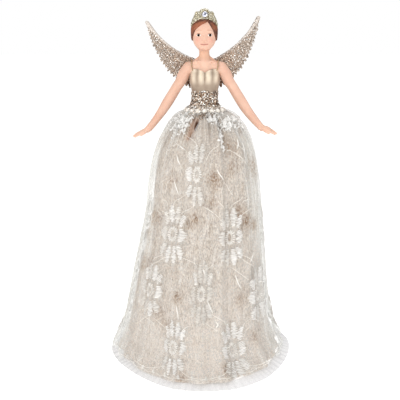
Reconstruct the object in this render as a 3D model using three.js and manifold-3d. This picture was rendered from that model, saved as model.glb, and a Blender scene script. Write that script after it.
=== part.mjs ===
// Angel tree topper: a half-figure doll with a tiara, hinged arms and glittered wings,
// standing on a hollow card cone that is dressed in a padded skirt, a lace overskirt and
// an organza hem. The cone drops over the top shoot of the tree.
// Millimetres, +Z up, the figure faces -Y, the origin is the centre of the base rim.
// "Left" and "right" are the figure's own: its left hand is on the +X side.
import * as THREE from 'three';
import { mergeVertices } from 'three/addons/utils/BufferGeometryUtils.js';
import Module from 'manifold-3d';

// ---------- driving dimensions ----------
const TOTAL_HEIGHT = 300;          // base rim to the tip of the tiara
const HEM_RADIUS = 84;             // outer edge of the organza hem
const GAP = 0.3;                   // clearance between touching pieces
const ROUND = 32;                  // facets round the skirt

const CONE_BASE_R = 58.5;          // card cone, outside, at the base rim
const CONE_TOP_R = 13;             // and at its top
const CONE_TOP_Z = 214;
const CARD = 1.5;                  // card thickness, measured level

const LACE = 0.8;                  // lace layer
const CLOTH = 1.0;                 // underskirt layer
const LACE_AIR = 3.2;              // the lace stands this far off the underskirt

const BELT_R = 15.6;               // circle through the pearls
const BELT_Z = 218.95;
const PEARL_R = 2.25;
const PEARLS = 17;

const SHOULDER_Z = 252.5;          // level of the shoulder pins
const SHOULDER_R = 5.6;            // round face where the arm meets the torso
const SEAM_X = 12;                 // plane of that face
const SHOULDER_PIN_R = 1.5;

const NECK_Z = 266.75;             // plane where the head turns on the neck
const NECK_R = 4.6;
const NECK_PIN_R = 1.5;

const WING_AXIS = [4.6, 11.9];     // x, y of the wire a wing swings on
const WING_WIRE_R = 0.7;
const WING_WIRE_LOW = 244.5;       // levels where the wire enters the back
const WING_WIRE_HIGH = 257.3;
const WING_THICK = 1.6;

// outside of the lace: [z, r]
const SKIRT = [
  [216.6, 15.9], [215.7, 19.6], [211.6, 25.3], [205.9, 30.3], [199, 35.5],
  [189, 40.4], [175, 44.6], [158, 47.9], [132, 51.1], [92.6, 57.3], [55, 63.1], [29, 68.6],
  [15, 73.4], [6, 78.6],
];

// ---------- helpers ----------
const wasm = await Module();
wasm.setup();

// A closed geometry with shared vertices, no slivers, and faces pointing out.
function solid(geometry) {
  let g = geometry.index ? geometry : geometry.clone();
  for (const name of Object.keys(g.attributes)) if (name !== 'position') g.deleteAttribute(name);
  g = mergeVertices(g, 1e-3);
  const p = g.attributes.position;
  const index = g.index.array;
  const kept = [];
  let volume = 0;
  const a = new THREE.Vector3(), b = new THREE.Vector3(), c = new THREE.Vector3();
  for (let i = 0; i < index.length; i += 3) {
    const [u, v, w] = [index[i], index[i + 1], index[i + 2]];
    if (u === v || v === w || w === u) continue;
    a.fromBufferAttribute(p, u); b.fromBufferAttribute(p, v); c.fromBufferAttribute(p, w);
    volume += a.dot(b.clone().cross(c)) / 6;
    kept.push(u, v, w);
  }
  if (volume < 0) for (let i = 0; i < kept.length; i += 3) [kept[i + 1], kept[i + 2]] = [kept[i + 2], kept[i + 1]];
  g.setIndex(kept);
  return g;
}

function toManifold(geometry) {
  const g = solid(geometry);
  return new wasm.Manifold(new wasm.Mesh({
    numProp: 3,
    vertProperties: new Float32Array(g.attributes.position.array),
    triVerts: new Uint32Array(g.index.array),
  }));
}

function fromManifold(body) {
  const m = body.getMesh();
  const points = new Float32Array(m.numVert * 3);
  for (let i = 0; i < m.numVert; i++) for (let k = 0; k < 3; k++) points[i * 3 + k] = m.vertProperties[i * m.numProp + k];
  const g = new THREE.BufferGeometry();
  g.setAttribute('position', new THREE.BufferAttribute(points, 3));
  g.setIndex(Array.from(m.triVerts));
  return g;
}

const join = (first, ...rest) => fromManifold(rest.reduce((s, g) => s.add(toManifold(g)), toManifold(first)));
const cut = (first, ...rest) => fromManifold(rest.reduce((s, g) => s.subtract(toManifold(g)), toManifold(first)));

// Smooth value through [position, value] pairs.
function through(pairs) {
  const s = [...pairs].sort((p, q) => p[0] - q[0]);
  const n = s.length;
  const slope = s.map((p, i) => {
    if (i === 0 || i === n - 1) return 0;
    const d0 = (p[1] - s[i - 1][1]) / (p[0] - s[i - 1][0]);
    const d1 = (s[i + 1][1] - p[1]) / (s[i + 1][0] - p[0]);
    return d0 * d1 <= 0 ? 0 : (2 * d0 * d1) / (d0 + d1);
  });
  slope[0] = (s[1][1] - s[0][1]) / (s[1][0] - s[0][0]);
  slope[n - 1] = (s[n - 1][1] - s[n - 2][1]) / (s[n - 1][0] - s[n - 2][0]);
  return (x) => {
    if (x <= s[0][0]) return s[0][1];
    if (x >= s[n - 1][0]) return s[n - 1][1];
    let i = 0;
    while (x > s[i + 1][0]) i++;
    const h = s[i + 1][0] - s[i][0], t = (x - s[i][0]) / h;
    return s[i][1] * (1 + 2 * t) * (1 - t) ** 2 + slope[i] * h * t * (1 - t) ** 2
      + s[i + 1][1] * t * t * (3 - 2 * t) + slope[i + 1] * h * t * t * (t - 1);
  };
}

// Turned body about Z from an [r, z] profile.
function turned(profile, segments = ROUND) {
  const g = new THREE.LatheGeometry(profile.map(([r, z]) => new THREE.Vector2(r, z)), segments);
  return g.rotateX(Math.PI / 2);
}

// Body with oval sections: half-widths in x, and front and back depths, at each level.
function oval(levels, section, segments) {
  const profile = [[0, levels[0]], ...levels.map((z) => [1, z]), [0, levels[levels.length - 1]]];
  const g = turned(profile, segments);
  const p = g.attributes.position;
  for (let i = 0; i < p.count; i++) {
    const z = p.getZ(i), s = section(z), y = p.getY(i);
    p.setXY(i, p.getX(i) * s.rx, (s.cy ?? 0) + y * (y < 0 ? s.front : s.back));
  }
  return g;
}

// Sleeve with an oval section: inner and outer sections and the level of its two edges by angle.
function sleeve(low, high, inner, outer, rows, segments) {
  const profile = [];
  for (let i = 0; i <= rows; i++) profile.push([2, i]);
  for (let i = rows; i >= 0; i--) profile.push([1, i]);
  profile.push([2, 0]);
  const g = turned(profile, segments);
  const p = g.attributes.position;
  for (let i = 0; i < p.count; i++) {
    const x = p.getX(i), y = p.getY(i), r = Math.hypot(x, y), a = Math.atan2(x, -y);
    const z = low(a) + (high(a) - low(a)) * p.getZ(i) / rows;
    const s = (r > 1.5 ? outer : inner)(z, a);
    p.setXYZ(i, (x / r) * s.rx, (y / r) * (y < 0 ? s.front : s.back), z);
  }
  return g;
}

// Round bar along a smooth path.
function bar(points, radius, steps, sides = 8) {
  const path = new THREE.CatmullRomCurve3(points.map((q) => new THREE.Vector3(...q)));
  const section = new THREE.Shape();
  for (let i = 0; i < sides; i++) {
    const a = (i / sides) * 2 * Math.PI, x = radius * Math.cos(a), y = radius * Math.sin(a);
    if (i) section.lineTo(x, y); else section.moveTo(x, y);
  }
  section.closePath();
  return new THREE.ExtrudeGeometry(section, { steps, extrudePath: path, bevelEnabled: false });
}

// Tapered limb: a lathe whose rows are carried from station to station.
// Each station: x and z of the inner edge, x and z of the outer edge, y, half-depth in y.
function limb(stations, rows, segments) {
  const fields = [0, 1, 2, 3, 4, 5].map((k) => through(stations.map((s, i) => [i, s[k]])));
  const last = stations.length - 1;
  const profile = [[0, 0]];
  for (let i = 0; i <= rows; i++) profile.push([1, i]);
  profile.push([0, rows]);
  const g = turned(profile, segments);
  const p = g.attributes.position;
  for (let i = 0; i < p.count; i++) {
    const u = p.getX(i), v = p.getY(i), t = (p.getZ(i) / rows) * last;
    const [xi, zi, xo, zo, y, depth] = fields.map((f) => f(t));
    p.setXYZ(i, (xi + xo) / 2 + (u * (xo - xi)) / 2, y + v * depth, (zi + zo) / 2 + (u * (zo - zi)) / 2);
  }
  return g;
}

const mirrorX = (geometry) => {
  const g = geometry.clone();
  return g.applyMatrix4(new THREE.Matrix4().makeScale(-1, 1, 1));
};
const moved = (geometry, x, y, z) => geometry.clone().translate(x, y, z);
const pinAlongZ = (r, z0, z1, sides = 16) => new THREE.CylinderGeometry(r, r, z1 - z0, sides).rotateX(Math.PI / 2).translate(0, 0, (z0 + z1) / 2);
const pinAlongX = (r, x0, x1, sides = 12) => new THREE.CylinderGeometry(r, r, x1 - x0, sides).rotateZ(Math.PI / 2).translate((x0 + x1) / 2, 0, 0);

const model = new THREE.Group();
model.name = 'angel_tree_topper';
function add(parent, name, geometry, color, roughness, metalness = 0) {
  const g = solid(geometry);
  g.computeVertexNormals();
  const mesh = new THREE.Mesh(g, new THREE.MeshStandardMaterial({ color, roughness, metalness }));
  mesh.name = name;
  parent.add(mesh);
  return mesh;
}
const stand = new THREE.Group();      // cone, skirts and torso
const headGroup = new THREE.Group();  // everything that turns on the neck
const armLeft = new THREE.Group();
const armRight = new THREE.Group();
const wingLeft = new THREE.Group();
const wingRight = new THREE.Group();
model.add(stand, headGroup, armLeft, armRight, wingLeft, wingRight);

// ---------- the stand: card cone, plug and dowel ----------
const coneR = (z) => CONE_BASE_R + ((CONE_TOP_R - CONE_BASE_R) * z) / CONE_TOP_Z;
add(stand, 'card_cone', turned([
  [CONE_BASE_R - CARD, 0], [CONE_BASE_R, 0], [CONE_TOP_R, CONE_TOP_Z], [CONE_TOP_R - CARD, CONE_TOP_Z], [CONE_BASE_R - CARD, 0],
]), 0xb9a283, 0.9);

const DOWEL_R = 3;
const PLUG_LOW = 202, PLUG_HIGH = 213.6;
add(stand, 'waist_plug', turned([
  [DOWEL_R + GAP, PLUG_LOW], [coneR(PLUG_LOW) - CARD - GAP, PLUG_LOW], [coneR(PLUG_HIGH) - CARD - GAP, PLUG_HIGH],
  [DOWEL_R + GAP, PLUG_HIGH], [DOWEL_R + GAP, PLUG_LOW],
], 24), 0xd8c3a0, 0.85);
add(stand, 'support_dowel', pinAlongZ(DOWEL_R, 196, 230, 16), 0xcaa878, 0.7);

// ---------- skirts ----------
// A layer inside the lace: the outline moved in, square to itself, by a depth that changes with height.
const inset = (depth) => SKIRT.map(([z, r], i) => {
  const [z0, r0] = SKIRT[Math.max(0, i - 1)], [z1, r1] = SKIRT[Math.min(SKIRT.length - 1, i + 1)];
  const dr = r1 - r0, dz = z1 - z0, n = Math.hypot(dr, dz), d = typeof depth === 'number' ? depth : depth(z);
  return [r + (dz / n) * d, z - (dr / n) * d];
});
const layer = (outer, inner) => [...outer, ...[...inner].reverse(), outer[0]];
const air = through([[217, 0.35], [209, 1.0], [190, LACE_AIR], [5, LACE_AIR]]);
add(stand, 'lace_overskirt', turned(layer(inset(0), inset(LACE))), 0xeee9df, 0.8);

const clothOut = inset((z) => LACE + air(z)), clothIn = inset((z) => LACE + air(z) + CLOTH);
const trimmed = (points) => points.slice(0, -1);               // the underskirt stops above the lace edge
add(stand, 'underskirt', turned(layer(trimmed(clothOut), trimmed(clothIn))), 0xcbb292, 0.95);

const padOut = trimmed(inset((z) => LACE + air(z) + CLOTH + 0.5)).slice(2);
const padLow = padOut[padOut.length - 1][1], padHigh = padOut[0][1];
add(stand, 'petticoat', turned([
  ...padOut, [coneR(padLow) + 0.5, padLow], [coneR(padHigh) + 0.5, padHigh], padOut[0],
]), 0xf1ece2, 0.95);

add(stand, 'hem_ribbon', turned([
  [63, 5.2], [73, 3.4], [79, 1.6], [HEM_RADIUS, 0], [HEM_RADIUS, 1.2], [79, 2.8], [73, 4.6], [63, 6.4], [63, 5.2],
]), 0xf7f5f0, 0.7);

// ---------- torso ----------
const torsoRx = through([[214.3, 11.0], [222, 10.5], [229, 10.2], [234, 10.4], [240, 10.6], [246, 10.6], [250, 10.2], [254, 9.0], [257, 7.4]]);
const torsoFront = through([[214.3, 9.6], [222, 8.7], [229, 8.0], [235, 8.6], [241, 9.6], [246, 9.3], [250, 7.8], [254, 6.4], [257, 5.4]]);
const torsoBack = through([[214.3, 9.6], [222, 8.7], [229, 7.8], [235, 7.4], [241, 7.0], [247, 6.6], [252, 6.2], [257, 5.4]]);
const torsoAt = (grow) => (z) => ({ rx: torsoRx(z) + grow, front: torsoFront(z) + grow, back: torsoBack(z) + grow });
const chest = oval([214.3, 222, 229, 234, 238, 241, 244, 247, 250, 253, 257], torsoAt(0), 24);
const shoulders = moved(pinAlongX(SHOULDER_R, -SEAM_X + GAP / 2, SEAM_X - GAP / 2, 20), 0, 0, SHOULDER_Z);
const neck = turned([[0, 250], [6.4, 250], [7.2, 255], [6.9, 258], [5.9, 260.2], [5.0, 262.4], [NECK_R, 264.6], [NECK_R, NECK_Z - GAP / 2], [0, NECK_Z - GAP / 2]], 20);
const wireHole = (side, z) => new THREE.CylinderGeometry(WING_WIRE_R + GAP, WING_WIRE_R + GAP, 8, 8).translate(side * WING_AXIS[0], 6, z);
const pinHole = moved(pinAlongX(SHOULDER_PIN_R + GAP, -5, 5, 12), 0, 0, SHOULDER_Z);
add(stand, 'torso', cut(
  join(chest, shoulders, neck),
  moved(pinHole, 12, 0, 0), moved(pinHole, -12, 0, 0),
  pinAlongZ(NECK_PIN_R + GAP, 258, 270),
  pinAlongZ(DOWEL_R + GAP, 210, 231, 16),
  wireHole(1, WING_WIRE_LOW), wireHole(-1, WING_WIRE_LOW), wireHole(1, WING_WIRE_HIGH), wireHole(-1, WING_WIRE_HIGH),
), 0xe9bd9f, 0.55);

// bodice: sweetheart front, low back, and cut under the arms
const bodiceTop = (a) => {
  const d = Math.abs(a) * 180 / Math.PI;                        // 0 at the front
  return through([[0, 249], [14, 250.6], [34, 252], [52, 250.2], [66, 247.2], [90, 244.6], [130, 243.2], [180, 242.4]])(d);
};
const bust = (z, a) => {
  const d = a * 180 / Math.PI;
  const lobe = Math.exp(-(((Math.abs(d) - 32) / 20) ** 2)) * Math.exp(-(((z - 246) / 4.2) ** 2));
  return 0.9 * lobe;
};
add(stand, 'bodice', sleeve(
  () => 232.6, bodiceTop,
  (z) => torsoAt(0.5)(z),
  (z, a) => { const s = torsoAt(1.3 + bust(z, a))(z); return { ...s, rx: Math.min(s.rx, 11.8) }; },
  6, 28,
), 0xb59a73, 0.35, 0.3);

const strapPath = [[10.1, -7.0, 250.9], [10.6, -6.8, 252.6], [10.9, -5.2, 256.9], [11, 0, 259.35], [10.7, 5.2, 256.9], [9.9, 7.2, 251.5], [8.9, 7.7, 247], [8.4, 8.2, 244.2]];
add(stand, 'strap_left', bar(strapPath, 0.42, 16, 6), 0xbda577, 0.4, 0.2);
add(stand, 'strap_right', mirrorX(bar(strapPath, 0.42, 16, 6)), 0xbda577, 0.4, 0.2);

// glittered waistband, inside the pearls at its lower edge
const bandR = through([[217.3, 13.0], [219.5, 12.95], [222, 12.7], [227, 12.0], [232.2, 11.7]]);
const bandDepth = through([[217.3, 13.0], [219.5, 12.9], [222, 12.0], [227, 10.6], [232.2, 9.8]]);
add(stand, 'waistband', sleeve(
  () => 217.3, () => 232.2,
  torsoAt(0.3),
  (z) => ({ rx: bandR(z), front: bandDepth(z), back: bandDepth(z) }),
  4, 24,
), 0xa58a6c, 0.4, 0.4);

// pearls on their thread
const thread = turned([[BELT_R - 0.4, BELT_Z - 0.4], [BELT_R + 0.4, BELT_Z - 0.4], [BELT_R + 0.4, BELT_Z + 0.4], [BELT_R - 0.4, BELT_Z + 0.4], [BELT_R - 0.4, BELT_Z - 0.4]], PEARLS * 2);
const beads = [];
for (let i = 0; i < PEARLS; i++) {
  const a = (i / PEARLS) * 2 * Math.PI - Math.PI / 2;
  beads.push(new THREE.SphereGeometry(PEARL_R, 7, 5).rotateX(Math.PI / 2).translate(BELT_R * Math.cos(a), BELT_R * Math.sin(a), BELT_Z));
}
add(stand, 'pearl_belt', join(thread, ...beads), 0xf0e6d2, 0.3);

// wire staples in the back that the wings swing on
const [WX, WY] = WING_AXIS;
const staple = bar([
  [WX, 3.2, WING_WIRE_HIGH], [WX, 7, WING_WIRE_HIGH], [WX, WY - 1.6, WING_WIRE_HIGH], [WX, WY - 0.45, WING_WIRE_HIGH - 0.45], [WX, WY, WING_WIRE_HIGH - 1.6],
  [WX, WY, (WING_WIRE_LOW + WING_WIRE_HIGH) / 2],
  [WX, WY, WING_WIRE_LOW + 1.6], [WX, WY - 0.45, WING_WIRE_LOW + 0.45], [WX, WY - 1.6, WING_WIRE_LOW], [WX, 7, WING_WIRE_LOW], [WX, 3.2, WING_WIRE_LOW],
], WING_WIRE_R, 26, 6);
add(stand, 'wing_wire_left', staple, 0xb8b2a6, 0.35, 0.9);
add(stand, 'wing_wire_right', mirrorX(staple), 0xb8b2a6, 0.35, 0.9);

// ---------- head ----------
const headRx = through([[266.9, 4.6], [268.6, 5.8], [271, 7.9], [274.5, 9.3], [279, 10.0], [283, 10.2], [286.5, 9.2], [289.2, 6.9], [290.8, 4.2], [291.5, 1.5]]);
const headFront = through([[266.9, 5.2], [268.6, 8.6], [271, 9.7], [274.5, 10.2], [279, 10.2], [283, 10.0], [286.5, 8.7], [289.2, 6.2], [290.8, 3.7], [291.5, 1.3]]);
const headBack = through([[266.9, 4.6], [268.6, 5.2], [271, 6.8], [274.5, 8.8], [279, 10.2], [283, 10.3], [286.5, 9.2], [289.2, 6.8], [290.8, 4.1], [291.5, 1.5]]);
const headAt = (grow, lift = 0) => (z) => ({ rx: headRx(z - lift) + grow, front: headFront(z - lift) + grow, back: headBack(z - lift) + grow });
const skull = oval([NECK_Z + GAP / 2, 268.6, 271, 274.5, 279, 283, 286.5, 289.2, 290.8, 291.5], headAt(0), 20);
add(headGroup, 'head', cut(skull, pinAlongZ(NECK_PIN_R + GAP, 260, 274.3)), 0xecc3a6, 0.5);
add(headGroup, 'neck_pin', pinAlongZ(NECK_PIN_R, 259, 274), 0xb8b2a6, 0.35, 0.9);

// hair: a swept-back cap, open over the face, and a coil at the back
const hairOuter = oval([269.6, 271, 274.5, 279, 283, 286.5, 289.2, 290.8, 291.9, 292.7], (z) => headAt(1.35)(Math.min(z, 291.5) - (z > 289 ? (z - 289) * 0.33 : 0)), 20);
const hairInner = oval([260, 266.9, 268.6, 271, 274.5, 279, 283, 286.5, 289.2, 290.8, 291.5, 291.85], headAt(0.3), 20);
const faceOpening = new THREE.SphereGeometry(1, 16, 12).scale(9.6, 11, 14.5).translate(0, -11.4, 274.4);
add(headGroup, 'hair_cap', cut(hairOuter, hairInner, faceOpening), 0x8a5536, 0.55);
add(headGroup, 'hair_bun', moved(new THREE.SphereGeometry(1, 12, 8).scale(5.6, 4.4, 5.2), 0, 16.6, 281), 0x8a5536, 0.55);

// tiara: an upright crest with three peaks, its foot laid over the hair from side to side
const TIARA_RX = 11.9, TIARA_RY = 6.2, TIARA_Z = 284.5, TIARA_RISE = 7.2;
const crest = through([[0, 8.3], [11, 7.6], [16, 6.4], [29, 7.0], [41, 5.0], [53, 3.4], [65, 2.2], [90, 1.6]]);
const tiaraGeometry = new THREE.BoxGeometry(180, 1, 0.9, 34, 1, 1).translate(0, 0.5, 0.45);
{
  const p = tiaraGeometry.attributes.position;
  for (let i = 0; i < p.count; i++) {
    const u = p.getX(i) * Math.PI / 180, v = p.getY(i) * crest(Math.abs(p.getX(i))), d = p.getZ(i);
    p.setXYZ(i, (TIARA_RX + d) * Math.sin(u), -(TIARA_RY + d) * Math.cos(u), TIARA_Z + TIARA_RISE * Math.cos(u) + v);
  }
  tiaraGeometry.computeBoundingBox();
  tiaraGeometry.translate(0, 0, TOTAL_HEIGHT - tiaraGeometry.boundingBox.max.z);
}
add(headGroup, 'tiara', tiaraGeometry, 0xc9b48a, 0.35, 0.6);
const gem = new THREE.CylinderGeometry(1.3, 2.35, 1.0, 8).translate(0, 0.5, 0);
const gemBack = new THREE.CylinderGeometry(2.35, 1.7, 0.6, 8).translate(0, -0.3, 0);
add(headGroup, 'tiara_gem', moved(join(gem, moved(gemBack, 0, 0.01, 0)).rotateX(Math.PI), 0, -7.75, 295.2), 0xf4f6f8, 0.05);

// ---------- arms ----------
const armStations = [
  // inner edge x, z, outer edge x, z, then y and half-depth
  [SEAM_X + GAP / 2, SHOULDER_Z - SHOULDER_R, SEAM_X + GAP / 2, SHOULDER_Z + SHOULDER_R, 0, SHOULDER_R],
  [12.6, 246.5, 15.6, 257.5, 0, 5.5],
  [13.1, 245.3, 19.0, 254.0, 0, 5.3],
  [14.1, 243.2, 22.2, 249.4, 0, 5.0],
  [16.1, 239.8, 24.4, 243.9, -0.1, 4.6],
  [19.3, 235.7, 27.2, 239.6, -0.3, 4.4],
  [23.3, 229.2, 31.2, 233.2, -0.6, 4.4],
  [27.3, 222.8, 35.7, 226.3, -1.0, 4.3],
  [32.3, 215.8, 39.8, 219.6, -1.5, 3.9],
  [38.4, 209.0, 44.5, 213.0, -2.0, 3.4],
  [44.6, 202.9, 49.4, 206.7, -2.5, 3.0],
  [49.6, 199.0, 53.0, 203.0, -3.0, 3.5],
  [55.6, 197.0, 57.6, 200.4, -3.4, 4.1],
  [60.0, 195.6, 61.2, 197.8, -3.7, 3.0],
  [62.1, 195.6, 62.5, 196.5, -3.8, 1.2],
];
const armBody = cut(limb(armStations, 17, 12), moved(pinAlongX(SHOULDER_PIN_R + GAP, 10, 16.8, 12), 0, 0, SHOULDER_Z));
const shoulderPin = moved(pinAlongX(SHOULDER_PIN_R, 8, 16.4, 12), 0, 0, SHOULDER_Z);
add(armLeft, 'arm_left', armBody, 0xe9bd9f, 0.5);
add(armLeft, 'shoulder_pin_left', shoulderPin, 0xb8b2a6, 0.35, 0.9);
add(armRight, 'arm_right', mirrorX(armBody), 0xe9bd9f, 0.5);
add(armRight, 'shoulder_pin_right', mirrorX(shoulderPin), 0xb8b2a6, 0.35, 0.9);

// ---------- wings ----------
// outline seen from the front: root, leading edge, tip, then the scalloped trailing edge
const wingOutline = [
  [5.9, 259.2], [7.8, 260.0], [12, 262.2], [17.5, 265.5], [22.6, 269.0], [28, 273.2], [31.6, 276.8], [35.2, 280.6], [38.6, 284.9], [42, 289.9], [45.6, 294.2],
  [46.9, 290.6], [46.2, 285.6], [45.9, 281.4], [44.7, 278.2], [44.6, 274.6], [42.9, 271.4], [42.4, 268.0], [40.2, 265.0], [39.4, 262.0], [36.6, 259.6], [35.4, 256.2], [32.4, 253.4],
  [30.6, 249.8], [27.4, 247.2], [24.8, 243.4], [21.4, 241.4], [19.2, 238.4], [15.4, 237.6], [12.4, 236.0], [8.4, 238.2], [5.9, 240.5],
];
const wingShape = new THREE.Shape(wingOutline.map(([x, z]) => new THREE.Vector2(x, z)));
const wingPlate = new THREE.ExtrudeGeometry(wingShape, { depth: WING_THICK, bevelEnabled: false }).rotateX(Math.PI / 2).translate(0, WY + WING_THICK / 2, 0);
{
  // the tip sweeps back a little
  const p = wingPlate.attributes.position;
  for (let i = 0; i < p.count; i++) p.setY(i, p.getY(i) + 0.0016 * Math.max(0, p.getX(i) - 6) ** 2);
}
const sleeveLow = WING_WIRE_LOW + 2.4, sleeveHigh = WING_WIRE_HIGH - 2.4;
const rootTube = turned([[WING_WIRE_R + 0.25, sleeveLow], [2.0, sleeveLow], [2.0, sleeveHigh], [WING_WIRE_R + 0.25, sleeveHigh], [WING_WIRE_R + 0.25, sleeveLow]], 16).translate(WX, WY, 0);
const wingBody = join(wingPlate, rootTube);
add(wingLeft, 'wing_left', wingBody, 0xb39b82, 0.45, 0.4);
add(wingRight, 'wing_right', mirrorX(wingBody), 0xb39b82, 0.45, 0.4);

export default model;
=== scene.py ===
import bpy
import bmesh
import math
import numpy as np
from mathutils import Vector, Matrix


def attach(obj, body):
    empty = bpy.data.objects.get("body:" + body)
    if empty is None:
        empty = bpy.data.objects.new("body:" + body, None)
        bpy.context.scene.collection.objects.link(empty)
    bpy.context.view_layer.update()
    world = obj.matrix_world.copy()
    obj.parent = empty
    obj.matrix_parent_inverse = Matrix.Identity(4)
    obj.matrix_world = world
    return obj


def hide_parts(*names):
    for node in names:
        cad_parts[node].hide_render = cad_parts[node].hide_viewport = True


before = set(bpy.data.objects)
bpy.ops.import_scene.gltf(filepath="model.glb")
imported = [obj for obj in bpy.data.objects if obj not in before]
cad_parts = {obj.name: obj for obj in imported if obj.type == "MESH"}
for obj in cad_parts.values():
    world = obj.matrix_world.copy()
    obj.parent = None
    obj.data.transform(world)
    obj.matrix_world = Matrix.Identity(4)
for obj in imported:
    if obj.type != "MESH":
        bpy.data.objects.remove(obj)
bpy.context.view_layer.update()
MM = 0.001

# ------------------------------------------------------------------ helpers


class Curve:
    """Smooth value through (position, value) pairs, without overshoot."""

    def __init__(self, pairs):
        p = np.array(sorted(pairs), float)
        self.x, self.y = p[:, 0], p[:, 1]
        h, d = np.diff(self.x), np.diff(self.y) / np.diff(self.x)
        m = np.zeros(len(p))
        m[0], m[-1] = d[0], d[-1]
        for i in range(1, len(p) - 1):
            m[i] = 0 if d[i - 1] * d[i] <= 0 else 2 * d[i - 1] * d[i] / (d[i - 1] + d[i])
        self.m = m

    def __call__(self, v):
        v = np.clip(np.asarray(v, float), self.x[0], self.x[-1])
        i = np.clip(np.searchsorted(self.x, v, side="right") - 1, 0, len(self.x) - 2)
        h = self.x[i + 1] - self.x[i]
        t = (v - self.x[i]) / h
        return (self.y[i] * (1 + 2 * t) * (1 - t) ** 2 + self.m[i] * h * t * (1 - t) ** 2
                + self.y[i + 1] * t * t * (3 - 2 * t) + self.m[i + 1] * h * t * t * (t - 1))


def smooth(a, b, v):
    t = np.clip((np.asarray(v, float) - a) / (b - a), 0, 1)
    return t * t * (3 - 2 * t)


def gauss(v, s):
    return np.exp(-(np.asarray(v, float) / s) ** 2)


def waves(lo, hi, terms, seed):
    """A seeded periodic function of an angle, with about unit height."""
    g = np.random.default_rng(seed)
    k = g.choice(np.arange(lo, hi + 1), size=min(terms, hi - lo + 1), replace=False)
    a = g.uniform(0.5, 1.0, len(k))
    a = a / np.sqrt((a ** 2).sum() / 2)
    ph = g.uniform(0, 2 * np.pi, len(k))

    def f(angle, shift=0.0):
        angle = np.asarray(angle, float)
        out = np.zeros(np.broadcast(angle, np.asarray(shift)).shape)
        for kk, aa, pp in zip(k, a, ph):
            out = out + aa * np.cos(kk * angle + pp + shift * (1 + 0.07 * kk))
        return out
    return f


def srgb(r, g, b, a=1.0):
    def lin(c):
        c = c / 255.0
        return c / 12.92 if c <= 0.04045 else ((c + 0.055) / 1.055) ** 2.4
    return (lin(r), lin(g), lin(b), a)


def make(name, verts, faces, smooth_shade=True):
    """A mesh object from points in millimetres."""
    me = bpy.data.meshes.new(name)
    me.from_pydata((np.asarray(verts, float) * MM).tolist(), [], [list(map(int, f)) for f in faces])
    me.update()
    if smooth_shade:
        me.shade_smooth()
    ob = bpy.data.objects.new(name, me)
    bpy.context.scene.collection.objects.link(ob)
    return ob


def vec_attr(ob, name, values):
    a = ob.data.attributes.new(name, "FLOAT_VECTOR", "POINT")
    v = np.zeros((len(ob.data.vertices), 3), np.float32)
    v[:, : values.shape[1]] = values
    a.data.foreach_set("vector", v.ravel())


def num_attr(ob, name, values):
    a = ob.data.attributes.new(name, "FLOAT", "POINT")
    a.data.foreach_set("value", np.asarray(values, np.float32).ravel())


def col_attr(ob, name, rgb):
    a = ob.data.attributes.new(name, "FLOAT_COLOR", "POINT")
    v = np.ones((len(ob.data.vertices), 4), np.float32)
    v[:, :3] = rgb
    a.data.foreach_set("color", v.ravel())


def grid_faces(nu, nv, wrap=False, base=0):
    """Quads of nv rows of nu points."""
    i = np.arange(nu if wrap else nu - 1)
    j = np.arange(nv - 1)
    ii, jj = np.meshgrid(i, j)
    a = jj * nu + ii
    b = jj * nu + (ii + 1) % nu
    c = (jj + 1) * nu + (ii + 1) % nu
    d = (jj + 1) * nu + ii
    return np.stack([a, b, c, d], -1).reshape(-1, 4) + base


def closed_tube(rows, seg):
    """(points, faces) of a tube given rows of shape (n, seg, 3), closed at both ends."""
    rows = np.asarray(rows, float)
    n = len(rows)
    pts = rows.reshape(-1, 3)
    faces = grid_faces(seg, n, True).tolist()
    first, last = len(pts), len(pts) + 1
    pts = np.concatenate([pts, rows[0].mean(0)[None], rows[-1].mean(0)[None]])
    for i in range(seg):
        faces.append([first, (i + 1) % seg, i])
        faces.append([last, (n - 1) * seg + i, (n - 1) * seg + (i + 1) % seg])
    return pts, faces


def path_tube(path, radius, seg=8, flat=1.0, up=None):
    """Round or flattened tube along points. radius is a number or one per point."""
    p = np.asarray(path, float)
    n = len(p)
    r = np.broadcast_to(np.asarray(radius, float), (n,))
    t = np.gradient(p, axis=0)
    t /= np.linalg.norm(t, axis=1)[:, None] + 1e-12
    if up is None:
        ref = np.array([0.0, 0.0, 1.0]) if abs(t[0][2]) < 0.9 else np.array([1.0, 0.0, 0.0])
        n1 = np.cross(t[0], ref)
        n1 /= np.linalg.norm(n1)
        normals = [n1]
        for i in range(1, n):
            v = normals[-1] - t[i] * (normals[-1] @ t[i])
            normals.append(v / (np.linalg.norm(v) + 1e-12))
        n1 = np.array(normals)
        n2 = np.cross(t, n1)
    else:
        n2 = np.asarray(up, float)
        n2 = n2 - t * (n2 * t).sum(1)[:, None]
        n2 /= np.linalg.norm(n2, axis=1)[:, None] + 1e-12
        n1 = np.cross(n2, t)
    a = np.arange(seg) / seg * 2 * np.pi
    rows = (p[:, None, :] + r[:, None, None] * (np.cos(a)[None, :, None] * n1[:, None, :]
            + flat * np.sin(a)[None, :, None] * n2[:, None, :]))
    return closed_tube(rows, seg)


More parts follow.
